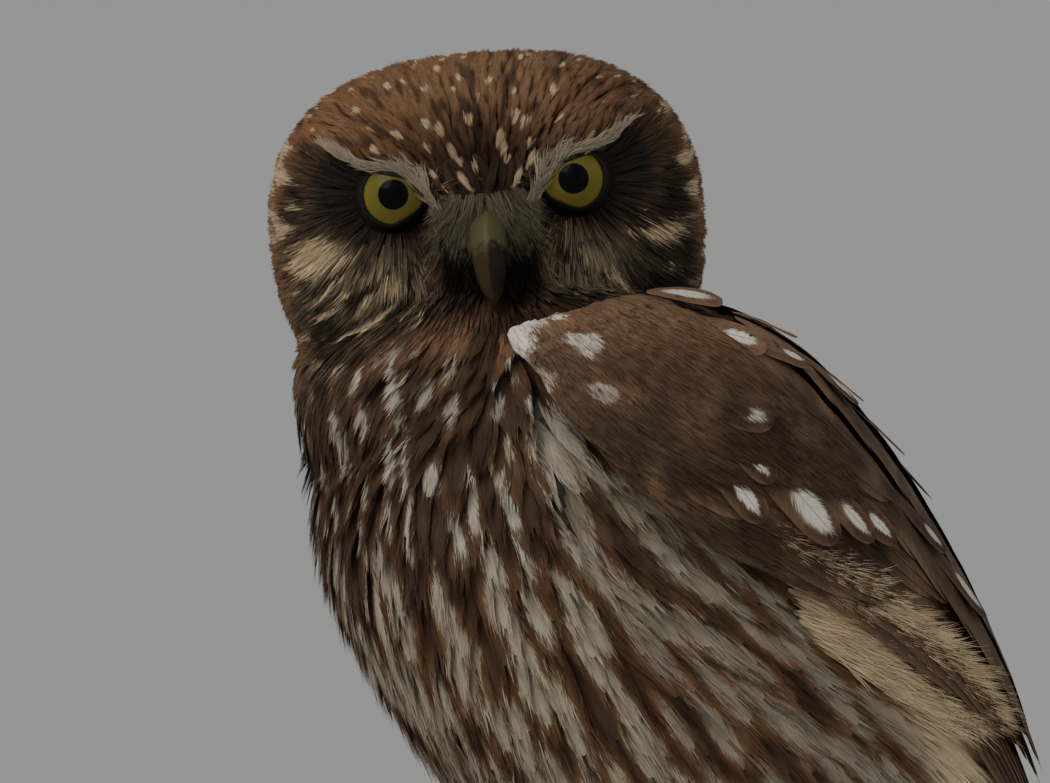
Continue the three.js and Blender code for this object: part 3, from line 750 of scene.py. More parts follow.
def body_paint(points):
    n = len(points)
    t, around, _, _, _ = body_map.find(points)
    broad, fine = patches(points, 10), patches(points, 2.4, 7)
    lower = smooth(t, 3.3, 5.0)
    flank = smooth(around, -42, -24) * smooth(t, 2.6, 3.4)
    back = smooth(around, 28, 50)
    collar = (1 - smooth(t, 1.7, 2.4)) * (1 - back)

    value = body_marks.value(points)[0] - 0.9 * collar + 0.2 * broad + 0.2 * fine
    line = np.interp(t, WHITE_LINE[:, 0], WHITE_LINE[:, 1])
    on_line = 0.7 - np.abs(around - line) * 0.55 / mix(1.1, 0.7, smooth(t, 2.2, 3.6))
    on_line = on_line - 3 * (1 - smooth(t, 1.5, 1.75) * smooth(4.2 - t, 0, 0.3)) + 0.4 * fine
    value = np.maximum(value, on_line)
    big_patch = 1 - np.hypot((t - 2.95) / 0.42, (around + 30) / 6.5)
    value = np.maximum(value, big_patch * 0.9 + 0.3 * fine)

    tone = blend(colour("breast", n), "dark", 0.3 + 0.5 * broad)
    tone = blend(tone, "orange", 0.5 * lower + 0.3 * fine)
    tone = blend(tone, "collar", collar * 1.1)
    deep = blend(colour("dark", n), "breast", 0.25 + 0.3 * broad)
    deep_value = -value * 0.9 - mix(0.55, 0.42, lower) - collar
    pale = blend(colour("white", n), "grey_white", 0.72 + 0.3 * flank + 0.3 * fine)
    pale = blend(pale, "cream", 0.55 * lower * (1 - flank))
    drop = smooth(t, 3.2, 4.6)
    tuft = smooth(around, mix(-14, 12, drop), mix(2, 26, drop)) * smooth(t, 3.6, 4.6)
    tuft = tuft * (1 - smooth(around, 50, 60)) * (1 - smooth(t, 6.2, 7.2))
    tone = blend(tone, "tuft", tuft)
    under = smooth(t, 6.0, 7.5)
    pale = blend(blend(pale, "tuft", tuft), "white", under * 0.6)
    value = value + 0.9 * under + tuft * 0.6
    deep_value = deep_value - 2 * tuft - under
    tone = mix(tone, blend(colour("wing", n), "far_wing", 0.5 + broad), back[:, None])
    value = mix(value, -1.0, back * (1 - under))

    leg = smooth(LEG_TOP - points[:, 2], 0, 9)
    tone, deep = blend(tone, "leg", leg), blend(deep, "orange", leg)
    value, deep_value = mix(value, -1.0, leg), mix(deep_value, fine - 0.6, leg)
    return as_look(tone, deep, pale, columns(value, deep_value, mix(0.75, 0.5, lower)))


def coat_paint(points):
    """The coat's colours anywhere on the skin, before any feather's own shade"""
    on_head = 1 - smooth(head_level(to_head(points)), 1.06, 1.2)
    made = {field: np.zeros((len(points), 3)) for field in LOOK}
    for share, painter in ((1 - on_head, body_paint), (on_head, head_paint)):
        i = np.flatnonzero(share > 0)
        if len(i):
            for field, values in painter(points[i]).items():
                made[field][i] += values * share[i, None]
    return made


# Feathers
OUTLINES = {
    "contour": ([0, 0.2, 0.45, 0.7, 0.86, 0.95, 1], [0.3, 0.72, 1, 0.95, 0.72, 0.44, 0.12]),
    "hair": ([0, 0.3, 0.6, 0.85, 1], [0.8, 1, 0.8, 0.45, 0.06]),
    "vaned": ([0, 0.15, 0.5, 0.8, 0.92, 0.98, 1], [0.35, 0.75, 1, 0.97, 0.78, 0.45, 0.15]),
}
CELL = 0.003
NO_SPOT = (0.5, 0.001, 0.0)


def marched(roots, normals, headings, lengths, shares):
    """Centre lines that follow the skin from their roots"""
    p, n, d = roots, normals, tangent(headings, normals)
    line, out = [p], [n]
    for before, after in zip(shares[:-1], shares[1:]):
        p, n = surface.nearest(p + d * (lengths * (after - before))[:, None])
        d = tangent(d, n)
        line.append(p)
        out.append(n)
    return np.stack(line, axis=1), np.stack(out, axis=1)


def raised(line, out, shares, root_lift, tip_lift, power=1.0):
    share = np.asarray(shares)[None] ** power
    return line + out * mix(np.asarray(root_lift)[:, None], np.asarray(tip_lift)[:, None], share)[..., None]


def side_ways(line, out, roll):
    """Sideways, upward and forward directions of each feather along its length"""
    run = unit(np.gradient(line, axis=1))
    side = unit(np.cross(run, out))
    up = unit(np.cross(side, run))
    angle = np.radians(roll)[:, None, None]
    return side * np.cos(angle) + up * np.sin(angle), up * np.cos(angle) - side * np.sin(angle), run


def repeated(pattern, count, points_each):
    """The triangles of one shape, once for each copy of it"""
    return (np.asarray(pattern)[None] + (np.arange(count) * points_each)[:, None, None]).reshape(-1, 3)


class Coat:
    """Feathers of one piece, gathered as arrays until they are made into a mesh"""

    def __init__(self, name, painter):
        self.name, self.painter = name, painter
        self.parts = []
        self.points_so_far = 0

    def gather(self, points, triangles, place, seen_at, seen_by, feather, own):
        """Adds a mesh. seen_at are places to take colours from, seen_by the one of each point."""
        part = {"points": points, "triangles": triangles + self.points_so_far, "place": place}
        part["look"] = (self.painter(seen_at), seen_by)
        part.update({field: values[feather] for field, values in own.items()})
        self.parts.append(part)
        self.points_so_far += len(points)

    def add(self, line, out, half, shares, outline="contour", columns_across=5, arch=0.14, roll=None,
            vane=0.8, spot=NO_SPOT, barbs=0, seed=1, **barb_plan):
        """Vanes over centre lines, each a grid of points that droops to its edges"""
        n, k, _ = line.shape
        rng = seeded(seed)
        roll = rng.normal(0, 4, n) if roll is None else np.full(n, float(roll))
        ways = (line, *side_ways(line, out, roll))
        width = half[:, None] * np.interp(shares, *OUTLINES[outline])[None]
        a = np.linspace(-1, 1, columns_across)
        spread, droop = (a * vane)[None, None, :, None], (arch * a**2)[None, None, :, None]
        off = ways[1][:, :, None] * spread - ways[2][:, :, None] * droop
        grid = line[:, :, None] + off * width[..., None, None]
        triangles = repeated(walls(k, columns_across, closed=False), n, k * columns_across)
        shade = rng.uniform(-0.5, 0.5, (n, 1, 1))
        place = columns(np.asarray(shares)[None, :, None], (a * vane)[None, None], shade).reshape(-1, 3)
        length = line_lengths(line)
        own = {
            "size": columns(length, half, rng.uniform(0, 40, n)),
            "spot": np.broadcast_to(np.asarray(spot, float), (n, 3)),
            "cell": cells_for(self.name, line[:, 0]),
        }
        points = grid.reshape(-1, 3)
        feather = np.repeat(np.arange(n), k * columns_across)
        self.gather(points, triangles, place, points, np.arange(len(points)), feather, own)
        if barbs:
            self.add_barbs(ways, width, half, length, shares, barbs, rng, own, **barb_plan)

    def add_barbs(self, ways, width, half, length, shares, count, rng, own,
                  reach=0.2, thick=0.22, rise=0.3, fray=1.0, bent=False):
        """Loose barbs that fray the edges and the tip of each vane"""
        n, k = width.shape
        way = np.where(rng.random((n, count)) < 0.5, -1.0, 1.0)
        v0 = 0.22 + 0.78 * np.sqrt(rng.random((n, count)))
        near_tip = smooth(v0, 0.8, 1.0)
        a0 = way * mix(rng.uniform(0.4, 0.8, (n, count)), rng.uniform(0, 0.75, (n, count)), near_tip)
        a1 = a0 + way * rng.uniform(0.1, 0.4, (n, count)) * mix(1, 0.35, near_tip) * fray
        v1 = v0 + reach * rng.uniform(0.5, 1.15, (n, count)) * mix(1, 0.62, near_tip)
        rows = np.arange(n)[:, None]

        def at(v, a, lift):
            i, f = between(np.clip(v, 0, 1), shares)
            middle, across, above, forward = (mix(w[rows, i], w[rows, i + 1], f) for w in ways)
            w = mix(width[rows, i], width[rows, i + 1], f[..., 0])
            w = np.where(v > 0.8, np.maximum(w, 0.45 * half[:, None]), w)
            past = np.maximum(v - 1, 0) * length[:, None]
            height = lift - 0.14 * a**2 * w
            past, aside, height = past[..., None], (a * w)[..., None], height[..., None]
            return middle + forward * past + across * aside + above * height

        lift0, lift1 = 0.04, rise * rng.uniform(-0.35, 1.0, (n, count))
        root, tip = at(v0, a0, lift0), at(v1, a1, lift1)
        flat = ways[2][rows, np.minimum((v0 * (k - 1)).astype(int), k - 1)]
        across = unit(np.cross(tip - root, flat)) * (thick * rng.uniform(0.6, 1.2, (n, count)) / 2)[..., None]
        if bent:
            vm, am = mix(v0, v1, 0.55), mix(a0, a1, 0.62)
            middle = at(vm, am, lift0 + 0.35 * (lift1 - lift0))
            corners = [root - across, root + across, middle - across * 0.8, middle + across * 0.8, tip]
            pattern, seen = [(0, 1, 3), (0, 3, 2), (2, 3, 4)], [0, 0, 1, 1, 1]
            v, a = np.stack([v0, v0, vm, vm, v1], -1), np.stack([a0, a0, am, am, a1], -1)
        else:
            corners = [root - across, root + across, tip]
            pattern, seen = [(0, 1, 2)], [0, 0, 1]
            v, a = np.stack([v0, v0, v1], -1), np.stack([a0, a0, a1], -1)
        m = len(corners)
        shade = rng.uniform(-1, 1, (n, count))[..., None]
        place = columns(np.clip(v, 0, 1), np.clip(a, -1.3, 1.3), shade).reshape(-1, 3)
        seen_by = (np.arange(n * count)[:, None] * 2 + np.array(seen)).ravel()
        self.gather(
            np.stack(corners, axis=2).reshape(-1, 3), repeated(pattern, n * count, m), place,
            np.stack([root, tip], axis=2).reshape(-1, 3), seen_by, np.repeat(np.arange(n), count * m), own,
        )

    def add_hairs(self, line, out, shares, count, spread, thick, rise, seed, shorter=0.6, curl=0.0):
        """Several fine hairs along each centre line, which fan out and taper to their tips"""
        n, k, _ = line.shape
        rng = seeded(seed)
        side, up, _ = side_ways(line, out, np.zeros(n))
        length = line_lengths(line)
        v = rng.uniform(shorter, 1.0, (n, count, 1)) * np.asarray(shares)[None, None]
        i, f = between(v, shares)
        rows = np.arange(n)[:, None, None]
        middle, across, above = (mix(w[rows, i], w[rows, i + 1], f) for w in (line, side, up))
        fan = rng.uniform(-1, 1, (n, count, 1)) * spread[:, None, None] * (0.45 + 0.75 * v)
        fan = fan + curl * rng.normal(0, 1, (n, count, 1)) * v**2 * length[:, None, None]
        lift = rise * rng.uniform(0, 1, (n, count, 1)) * v + 0.12 * rng.random((n, count, 1))
        hair = (middle + across * fan[..., None] + above * lift[..., None]).reshape(n * count, k, 3)
        way, _, _ = side_ways(hair, np.repeat(out, count, axis=0), rng.normal(0, 25, n * count))
        width = thick * rng.uniform(0.7, 1.25, (n * count, 1)) * np.interp(shares, *OUTLINES["hair"])[None]
        across = way * width[..., None] / 2
        points = np.stack([hair - across, hair + across], axis=2).reshape(-1, 3)
        shade = rng.uniform(-1, 1, (n * count, 1, 1))
        place = columns(np.asarray(shares)[None, :, None], np.array([-0.5, 0.5])[None, None], shade)
        own = {
            "size": columns(1.0, 0.5, rng.uniform(0, 40, n * count)),
            "spot": np.broadcast_to(np.array(NO_SPOT), (n * count, 3)),
            "cell": np.repeat(cells_for(self.name, line[:, 0]), count, axis=0),
        }
        triangles = repeated(walls(k, 2, closed=False), n * count, k * 2)
        owner = np.repeat(np.arange(n * count), k * 2)
        self.gather(points, triangles, place.reshape(-1, 3), hair[:, k // 2], owner, owner, own)

    def build(self, material, side=1):
        points = np.concatenate([p["points"] for p in self.parts]) * np.array([side, 1, 1])
        points[:, 2] = np.maximum(points[:, 2], LOWEST)
        triangles = np.concatenate([p["triangles"] for p in self.parts])
        made = triangle_mesh(self.name, points, triangles[:, ::-1] if side < 0 else triangles)
        for field in ("place", "size", "spot"):
            set_attribute(made.data, field, np.concatenate([p[field] for p in self.parts]))
        for field in LOOK:
            looks = [p["look"] for p in self.parts]
            values = np.concatenate([look[field][seen_by] for look, seen_by in looks])
            set_attribute(made.data, field, values if field == "marks" else columns(*values.T, 1))
        place = np.concatenate([p["place"] for p in self.parts])
        cell = np.concatenate([p["cell"] for p in self.parts])
        local = columns(np.clip(place[:, 1] / 2.8 + 0.5, 0.05, 0.95), 0.06 + 0.88 * place[:, 0])
        set_uv(made.data, (cell + local) * CELL)
        made.data.materials.append(material)
        print(self.name, len(triangles), "triangles")
        return made


taken_cells = {}
RING = sorted(((i, j) for i in range(-16, 17) for j in range(-16, 17)), key=lambda c: c[0] ** 2 + c[1] ** 2)


def unwrap(points):
    """A place in the unit square for each place of the skin: the head above, the body and legs below"""
    q = to_head(points)
    on_head = head_level(q) < 1.1
    spin = np.arctan2(q[:, 0], -q[:, 1]) / (2 * np.pi) + 0.5
    tilt = np.arctan2(q[:, 2] - HEAD_MIDDLE, np.hypot(q[:, 0], q[:, 1])) / np.pi + 0.5
    t, around, _, _, side = body_map.find(points)
    turn = 0.5 + side * (around + 90) / 360
    down = t / 10 * 0.75 + 0.25 * smooth(36 - points[:, 2], 0, 36)
    u = np.where(on_head, spin, turn)
    v = np.where(on_head, 0.56 + 0.43 * tilt, 0.53 - 0.52 * down)
    return columns(np.clip(u, 0.002, 0.995), np.clip(v, 0.002, 0.995))


def cells_for(name, roots):
    """A cell of its own for each tuft, at its root's place on the unwrap"""
    taken = taken_cells.setdefault(name, set())
    last = int(1 / CELL) - 1
    made = []
    for u, v in (unwrap(roots) / CELL).astype(int).tolist():
        for i, j in RING:
            cell = (min(max(u + i, 0), last), min(max(v + j, 0), last))
            if cell not in taken:
                break
        taken.add(cell)
        made.append(cell)
    return np.array(made, float)


# The coat over the skin
def coat_sizes(points):
    """Length, half width, depth and spacing of the feathers whose roots are here"""
    q = to_head(points)
    zones = head_zones(q)
    t, around, _, _, _ = body_map.find(points)
    on_head = 1 - smooth(head_level(q), 0.98, 1.12)
    face, crown, front = on_head * zones["face"], on_head * zones["crown"], zones["front"]
    leg, foot = smooth(LEG_TOP - points[:, 2], 0, 9), smooth(12 - points[:, 2], 0, 4)
    length = 13 + 7 * smooth(t, 2.5, 5.5) + 3 * smooth(around, -40, -10) * smooth(t, 2.5, 4)
    length = mix(length - 3.5 * (1 - smooth(t, 1.2, 2.6)), 9.5, on_head)
    length = mix(length, 5.4 + 3.2 * smooth(20 - front, 0, 18), crown)
    length = mix(length, 3.9, on_head * zones["forehead"])
    length = mix(length, 4.2 + 0.14 * zones["from_eye"], face)
    length = mix(mix(length, 6.5, leg), 2.4, foot)
    half = length * mix(0.165, 0.19, crown)
    half = mix(half, length * 0.12, np.maximum(face, leg))
    depth = mix(BODY_COAT, HEAD_COAT, on_head)
    depth = mix(depth, 1.3, face * (1 - smooth(zones["from_eye"], 7, 16)))
    depth = mix(mix(depth, LEG_COAT, leg), 0.6, foot)
    spacing = 2.75 + 1.6 * smooth(around, 30, 55) + 0.5 * smooth(t, 6.5, 8)
    spacing = mix(spacing, 1.55 + 0.7 * (1 - smooth(front, -20, 2)), np.maximum(crown, on_head))
    spacing = mix(spacing, 1.15, on_head * zones["forehead"])
    spacing = mix(mix(mix(spacing, 1.05, face), 1.5, leg), 1.0, foot)
    return length, half, depth, spacing


SOFT_PLAN = dict(shares=[0, 0.2, 0.4, 0.6, 0.8, 0.92, 1], thick=0.2, bent=True)
HEAD_PLAN = dict(shares=[0, 0.3, 0.55, 0.8, 0.93, 1], thick=0.13)
COAT_PLANS = {
    "coat_crown": dict(HEAD_PLAN, barbs=56, reach=0.28, rise=0.16),
    "coat_nape": dict(HEAD_PLAN, barbs=54, reach=0.28, rise=0.3),
    "coat_breast": dict(SOFT_PLAN, barbs=48, reach=0.34, rise=0.5),
    "coat_belly": dict(SOFT_PLAN, barbs=48, reach=0.36, rise=0.6),
    "coat_rear": dict(HEAD_PLAN, barbs=50, reach=0.28, rise=0.4),
    "coat_legs": dict(shares=[0, 0.4, 0.75, 1], columns_across=3, barbs=12, reach=0.4, rise=0.4, thick=0.16),
}
HAIR_SHARES = [0, 0.3, 0.6, 0.85, 1]


def piece_of(points):
    """The coat piece of each root"""
    q = to_head(points)
    front, wide, height = -q[:, 1], np.abs(q[:, 0]), q[:, 2]
    t, around, _, _, _ = body_map.find(points)
    head = head_level(q) < 1.06
    names = np.where(t > BELLY_FROM, "coat_belly", "coat_breast").astype(object)
    names[(around > 30) | (t > 7.2)] = "coat_rear"
    names[head] = "coat_nape"
    names[head & (height > -10) & (front > -16)] = "coat_crown"
    names[head & (front > 8) & (height < brow_height(wide) + 0.2)] = "coat_face"
    names[points[:, 2] < 30] = "coat_legs"
    return names


def bare(q):
    """True where a feather's root would lie on an eye or on the bill"""
    wide = np.abs(q[:, 0])
    on_eye = (np.hypot(wide - EYE_SPREAD, q[:, 2]) < IRIS_RADIUS + 0.7) & (q[:, 1] < -10)
    on_bill = (wide < 2.4) & (q[:, 2] < -5) & (q[:, 2] > -16) & (q[:, 1] < -19)
    return on_eye | on_bill


def dress_skin(material):
    rng = seeded(11)
    roots, normals = surface.scatter(ROOT_SAMPLES, rng)
    keep = (roots[:, 2] > 1.2) & ~bare(to_head(roots))
    roots, normals = roots[keep], normals[keep]
    index = thinned(roots, coat_sizes(roots)[3], rng)
    roots, normals = roots[index], normals[index]
    length, half, depth, _ = coat_sizes(roots)
    length = length * rng.uniform(0.85, 1.15, len(length))
    wander = tangent(rng.normal(0, 1, roots.shape), normals) * 0.065
    heading = tangent(coat_lie(roots, normals) + wander, normals)
    tip_lift = depth * rng.uniform(0.8, 0.92, len(roots))
    names = piece_of(roots)
    made = []
    for number, (name, plan) in enumerate(COAT_PLANS.items()):
        i = np.flatnonzero(names == name)
        line, out = marched(roots[i], normals[i], heading[i], length[i], plan["shares"])
        line = raised(line, out, plan["shares"], np.full(len(i), 0.05), tip_lift[i])
        coat = Coat(name, coat_paint)
        coat.add(line, out, half[i], seed=number + 21, **plan)
        made.append(coat.build(material))
    i = np.flatnonzero(names == "coat_face")
    line, out = marched(roots[i], normals[i], heading[i], length[i] * 1.1, HAIR_SHARES)
    line = raised(line, out, HAIR_SHARES, np.full(len(i), 0.05), tip_lift[i])
    coat = Coat("coat_face", coat_paint)
    coat.add(line, out, half[i] * 0.7, HAIR_SHARES, "hair", 3, seed=41)
    coat.add_hairs(line, out, HAIR_SHARES, 7, half[i] * 1.1, 0.15, 0.55, 42)
    made.append(coat.build(material))
    return made


def tinted(name, shade):
    """A painter that gives one plain pigment"""
    def painter(points):
        tone = colour(name, len(points)) * (1 + shade * patches(points, 1.5, 4))[:, None]
        return as_look(tone, tone, tone, np.tile([-1.0, -1.0, 0.6], (len(points), 1)))
    return painter


BROW_PATH = np.array([
    (7.6, -8), (7.0, -4.6), (7.0, -1.6), (9.6, 2.1), (13.3, 4.7), (17.8, 5.2), (21.5, 6.6), (26.5, 8.6),
])


def add_brow(coat, rng, side, count):
    """The pale line of one brow, which starts beside the bill and rises to the side"""
    u = rng.uniform(0, 1, count) ** 0.9 * (len(BROW_PATH) - 1.6)
    path = np.stack([curve_value(c, u) for c in BROW_PATH.T], -1)
    ahead = np.stack([curve_value(c, u + 0.3) for c in BROW_PATH.T], -1)
    way = unit(ahead - path)
    off = mix(0.4, 0.2, smooth(u, 3, 6)) * rng.normal(0, 1, count)
    x, z = path[:, 0] - way[:, 1] * off, path[:, 1] + way[:, 0] * off + 0.5
    roots, normals = surface.seen_from_front(x * side, z)
    forward = columns(way[:, 0] * side, 0.1, way[:, 1] + 0.12) + rng.normal(0, 0.09, (count, 3))
    length = mix(3.2, 4.4, bell(u, 3.5, 2)) * rng.uniform(0.7, 1.1, count)
    line, out = marched(roots, normals, forward @ HEAD.T, length, HAIR_SHARES)
    inner = smooth(u, 1, 3)
    line = raised(line, out, HAIR_SHARES, mix(1.0, 1.9, inner), mix(1.6, 2.7, inner))
    coat.add_hairs(line, out, HAIR_SHARES, 3, np.full(count, 0.3), 0.13, 0.35, 43 + side)


def add_whiskers(coat, rng, side, count, x_range, z_range, aside, length, lift, seed):
    """Whiskers from a patch of the face. aside is their lean at the middle, and more each mm."""
    x, z = rng.uniform(*x_range, count), rng.uniform(*z_range, count)
    roots, normals = surface.seen_from_front(x * side, z)
    forward = columns(side * (aside[0] + aside[1] * x), -0.3, -1.0) + rng.normal(0, 0.14, (count, 3))
    length = length * rng.uniform(0.65, 1.15, count)
    line, out = marched(roots, normals, forward @ HEAD.T, length, HAIR_SHARES)
    line = raised(line, out, HAIR_SHARES, np.full(count, 0.2), lift * rng.uniform(0.5, 1.1, count), 1.3)
    coat.add_hairs(line, out, HAIR_SHARES, 4, np.full(count, 0.35), 0.12, 0.5, seed, curl=0.03)


def face_hairs(material):
    rng = seeded(17)
    brows = Coat("brow_feathers", tinted("brow", 0.18))
    whiskers = Coat("lore_whiskers", tinted("lores", 0.35))
    bristles = Coat("bill_bristles", tinted("black", 0.3))
    for _, side in SIDES:
        add_brow(brows, rng, side, 300)
        add_whiskers(whiskers, rng, side, 420, (0.2, 7.2), (-7.5, 0.2), (0.16, 0.11), 5.2, 3.0, 47 + side)
        add_whiskers(bristles, rng, side, 260, (2.3, 7.5), (-13, -5.5), (-0.22, 0.05), 5.6, 3.4, 50 + side)
    return [coat.build(material) for coat in (brows, whiskers, bristles)]


# Wings
WING_BACK_EDGE = {"t": [1.0, 2.2, 3.5, 4.9, 6.8, 9.2], "around": [-2, 18, 38, 54, 66, 71]}
WING_BELLY_EDGE = {"t": [1.5, 2.7, 3.9, 5.3, 7.0, 9.0], "around": [-37, -17, 6, 31, 46, 56]}
ARM_CREST = [0.6, 4.4, 5.2, 4.8, 3.6, 2.2, 0.8]
ARM_REACH = 0.56
WING_SHARES = [0, 0.12, 0.25, 0.38, 0.5, 0.62, 0.73, 0.82, 0.89, 0.94, 0.98, 1]
WING_PLAN = dict(
    shares=WING_SHARES, outline="vaned", columns_across=7, arch=0.1, vane=0.94,
    barbs=70, reach=0.1, thick=0.18, rise=0.1, fray=0.5,
)
COVERT_PLAN = dict(shares=[0, 0.3, 0.55, 0.8, 0.93, 1], barbs=44, reach=0.3, thick=0.15, rise=0.25)
COVERT_LENGTH, COVERT_STEP, COVERT_HALF = 0.085, 0.0115, 1.9

# Coverts side by side in a row, and how many of them cover the wing. The others reach past its front edge.
COVERTS_ACROSS, COVERTS_ON_WING = 22, 18.5

# White ovals of the wing: station, turn, heading towards the back, length and width in millimetres.
# The soft shoulder shows its ovals over many small coverts, and their whiteness comes last.
SHOULDER_OVALS = np.array([
    (1.73, -32.5, 76, 8.6, 8.4, 1.0), (1.55, -20.5, 80, 2.8, 1.6, 0.9), (1.94, -17.0, 76, 6.6, 3.7, 0.85),
    (2.29, -27.2, 60, 5.4, 4.2, 0.45), (2.47, -15.1, 62, 5.8, 3.3, 0.5), (1.21, -6.8, 76, 5.6, 2.1, 0.75),
])

# The others have a feather each, whose lift over the wing's bed comes last
WING_OVALS = np.array([
    (1.40, 20.5, 56, 7.0, 3.2, 1.0), (1.97, 22.0, 56, 5.2, 3.2, 1.2), (1.89, 46.7, 0, 4.4, 2.4, 1.0),
    (2.23, 34.2, 45, 3.6, 1.8, 1.4), (2.57, 46, 0, 5.2, 2.4, 1.5), (2.57, 56, 10, 5.0, 2.0, 1.0),
    (3.10, 58, 8, 5.2, 2.4, 1.2), (3.54, 62.4, 4, 4.4, 1.6, 1.0), (2.68, 9.1, 60, 7.4, 3.8, 3.2),
    (3.15, 8.1, 18, 5.4, 3.0, 2.6), (3.46, 4.1, 18, 6.4, 3.0, 2.2), (3.62, 14.6, 21, 9.4, 5.4, 2.8),
    (3.73, 23.0, 18, 6.2, 2.4, 2.8), (3.81, 28.3, 22, 5.0, 2.2, 2.6), (3.98, 45.2, 12, 4.6, 2.0, 1.8),
    (4.53, 49.2, 13, 7.8, 2.7, 1.8),
])


def wing_place(s, r, lift):
    at = 5 * np.asarray(s, float)
    t, around = (
        mix(curve_value(WING_BACK_EDGE[k], at), curve_value(WING_BELLY_EDGE[k], at), r)
        for k in ("t", "around")
    )
    return bed_point(t, around, lift)


def arm_lift(s, r):
    crest = curve_value(ARM_CREST, 6 * np.clip(s / ARM_REACH, 0, 1))
    dome = np.sqrt(np.clip(1 - (2 * mix(0.06, 0.94, r) - 1) ** 2, 0, 1))
    return 0.4 + crest * dome**0.8


# The ovals' stations came out too far back when rendered, for a cause that wasn't found.
# This step forward, in millimetres, was fitted to the picture.
OVALS_FORWARD = 4.4 * np.array([-0.5, -0.866, 0])


def moved(t, around):
    """Stations and turns on the wing's bed after the ovals' step forward"""
    along, turn, _ = form_axes(WING_BED, t, around)
    more_t = (along @ OVALS_FORWARD) / (along * along).sum(axis=1)
    return t + more_t, around + (turn @ OVALS_FORWARD) / (turn * turn).sum(axis=1)


def shoulder_spots():
    t, around, heading, long, wide, _ = SHOULDER_OVALS.T
    t, around = moved(t, around)
    places, out = bed_point(t, around, np.full(len(t), 3.5))
    along, turn, _ = form_axes(WING_BED, t, around)
    return Spots(places, headed(along, turn, heading), out, long / 2, wide / 2)


shoulder_marks = shoulder_spots()


def wing_paint(points):
    """Colours of the left wing: light brown at the shoulder, darker lower down, paler over the back"""
    n = len(points)
    t, around, _, _, _ = body_map.find(points)
    broad, fine = patches(points, 8, 2), patches(points, 2.0, 6)
    tone = blend(colour("wing", n), "wing_dark", 0.45 + 0.7 * broad)
    tone = blend(tone, "far_wing", smooth(around - 16 * (t - 1), 18, 34) * (0.6 + 0.5 * broad))
    tone = blend(tone, "shoulder", (1 - smooth(t, 1.6, 2.6)) * (0.8 + 0.4 * fine))
    tone = blend(tone, "far_wing", 0.7 * patches(points, 4.5, 8))
    value, nearest = shoulder_marks.value(points)
    value = value + 0.5 * fine
    pale = blend(colour("shoulder", n), "white", SHOULDER_OVALS[nearest, 5])
    return as_look(tone, colour("wing_dark", n), pale, columns(value * 1.2, fine * 0.8 - 0.45, 0.6))


def ramp(values, count):
    return curve_value(values, np.linspace(0, len(values) - 1, count))


def spots_for(rng, count, chance, at, long, wide):
    spot = np.tile([at, long, wide], (count, 1))
    spot[rng.random(count) > chance] = NO_SPOT
    return spot


def tier(coat, count, root_s, root_r, tip_s, tip_r, root_lift, tip_lift, half, seed,
         spot=(0, 0.8, 0.07, 0.5)):
    """A row of long feathers side by side, from the back edge to the belly edge"""
    rng = seeded(seed)
    r = np.linspace(0, 1, count)[:, None]
    v = np.asarray(WING_SHARES)[None]
    wobble = rng.normal(0, 0.006, (count, 1))
    s = mix(ramp(root_s, count)[:, None], ramp(tip_s, count)[:, None] + wobble, v)
    lift = mix(mix(*root_lift, r), mix(*tip_lift, r), v)
    line, out = wing_place(s, mix(mix(*root_r, r), mix(*tip_r, r), v), lift)
    spots = spots_for(rng, count, *spot)
    coat.add(line, out, np.full(count, half), roll=9, spot=spots, seed=seed, **WING_PLAN)


def spotted_feathers(coat, seed):
    """One feather for each white oval, which lies at its place near the feather's tip"""
    t, around, heading, long, wide, base = WING_OVALS.T
    t, around = moved(t, around)
    along, turn, _ = form_axes(WING_BED, t, around)
    h = np.radians(heading)
    after, half = long * 0.5 + 1.2, wide * 0.5 + 2.0
    length = np.maximum(16, long * 2.6) * mix(0.55, 1, smooth(t, 1.4, 2.3))
    v = np.asarray(WING_SHARES)[None]
    reach = mix((after - length)[:, None], after[:, None], v)
    line_t = t[:, None] + (np.cos(h) / np.linalg.norm(along, axis=1))[:, None] * reach
    line_a = around[:, None] + (np.sin(h) / np.linalg.norm(turn, axis=1))[:, None] * reach
    line, out = bed_point(line_t, line_a, mix(base[:, None] + 0.6, base[:, None] + 3.6, v**0.8))
    spot = columns(1 - after / length, long / 2 / length, wide / 2 / half)
    coat.add(line, out, half, roll=6, spot=spot, seed=seed, **WING_PLAN)


def small_coverts(coat, seed):
    """Small soft feathers over the arm, from the wing's middle to the shoulder and past its front edge"""
    rng = seeded(seed)
    rows, across = np.meshgrid(np.arange(-0.02, 0.37, COVERT_STEP), np.arange(COVERTS_ACROSS), indexing="ij")
    stagger = 0.5 * (np.arange(len(rows)) % 2)[:, None]
    s = (rows + rng.normal(0, 0.004, rows.shape)).reshape(-1, 1)
    r = ((across + stagger) / COVERTS_ON_WING + rng.normal(0, 0.025, rows.shape)).reshape(-1, 1)
    v = np.asarray(COVERT_PLAN["shares"])[None]
    s_all, r_all = s + v * COVERT_LENGTH, np.clip(r + 0 * v, -0.03, 1.22)
    lift = arm_lift(np.clip(s_all, 0.01, 1), np.clip(r_all, 0.02, 0.98)) - 0.5 + 1.4 * v
    line, out = wing_place(s_all, r_all, lift)
    coat.add(line, out, np.full(len(s), COVERT_HALF), seed=seed, **COVERT_PLAN)


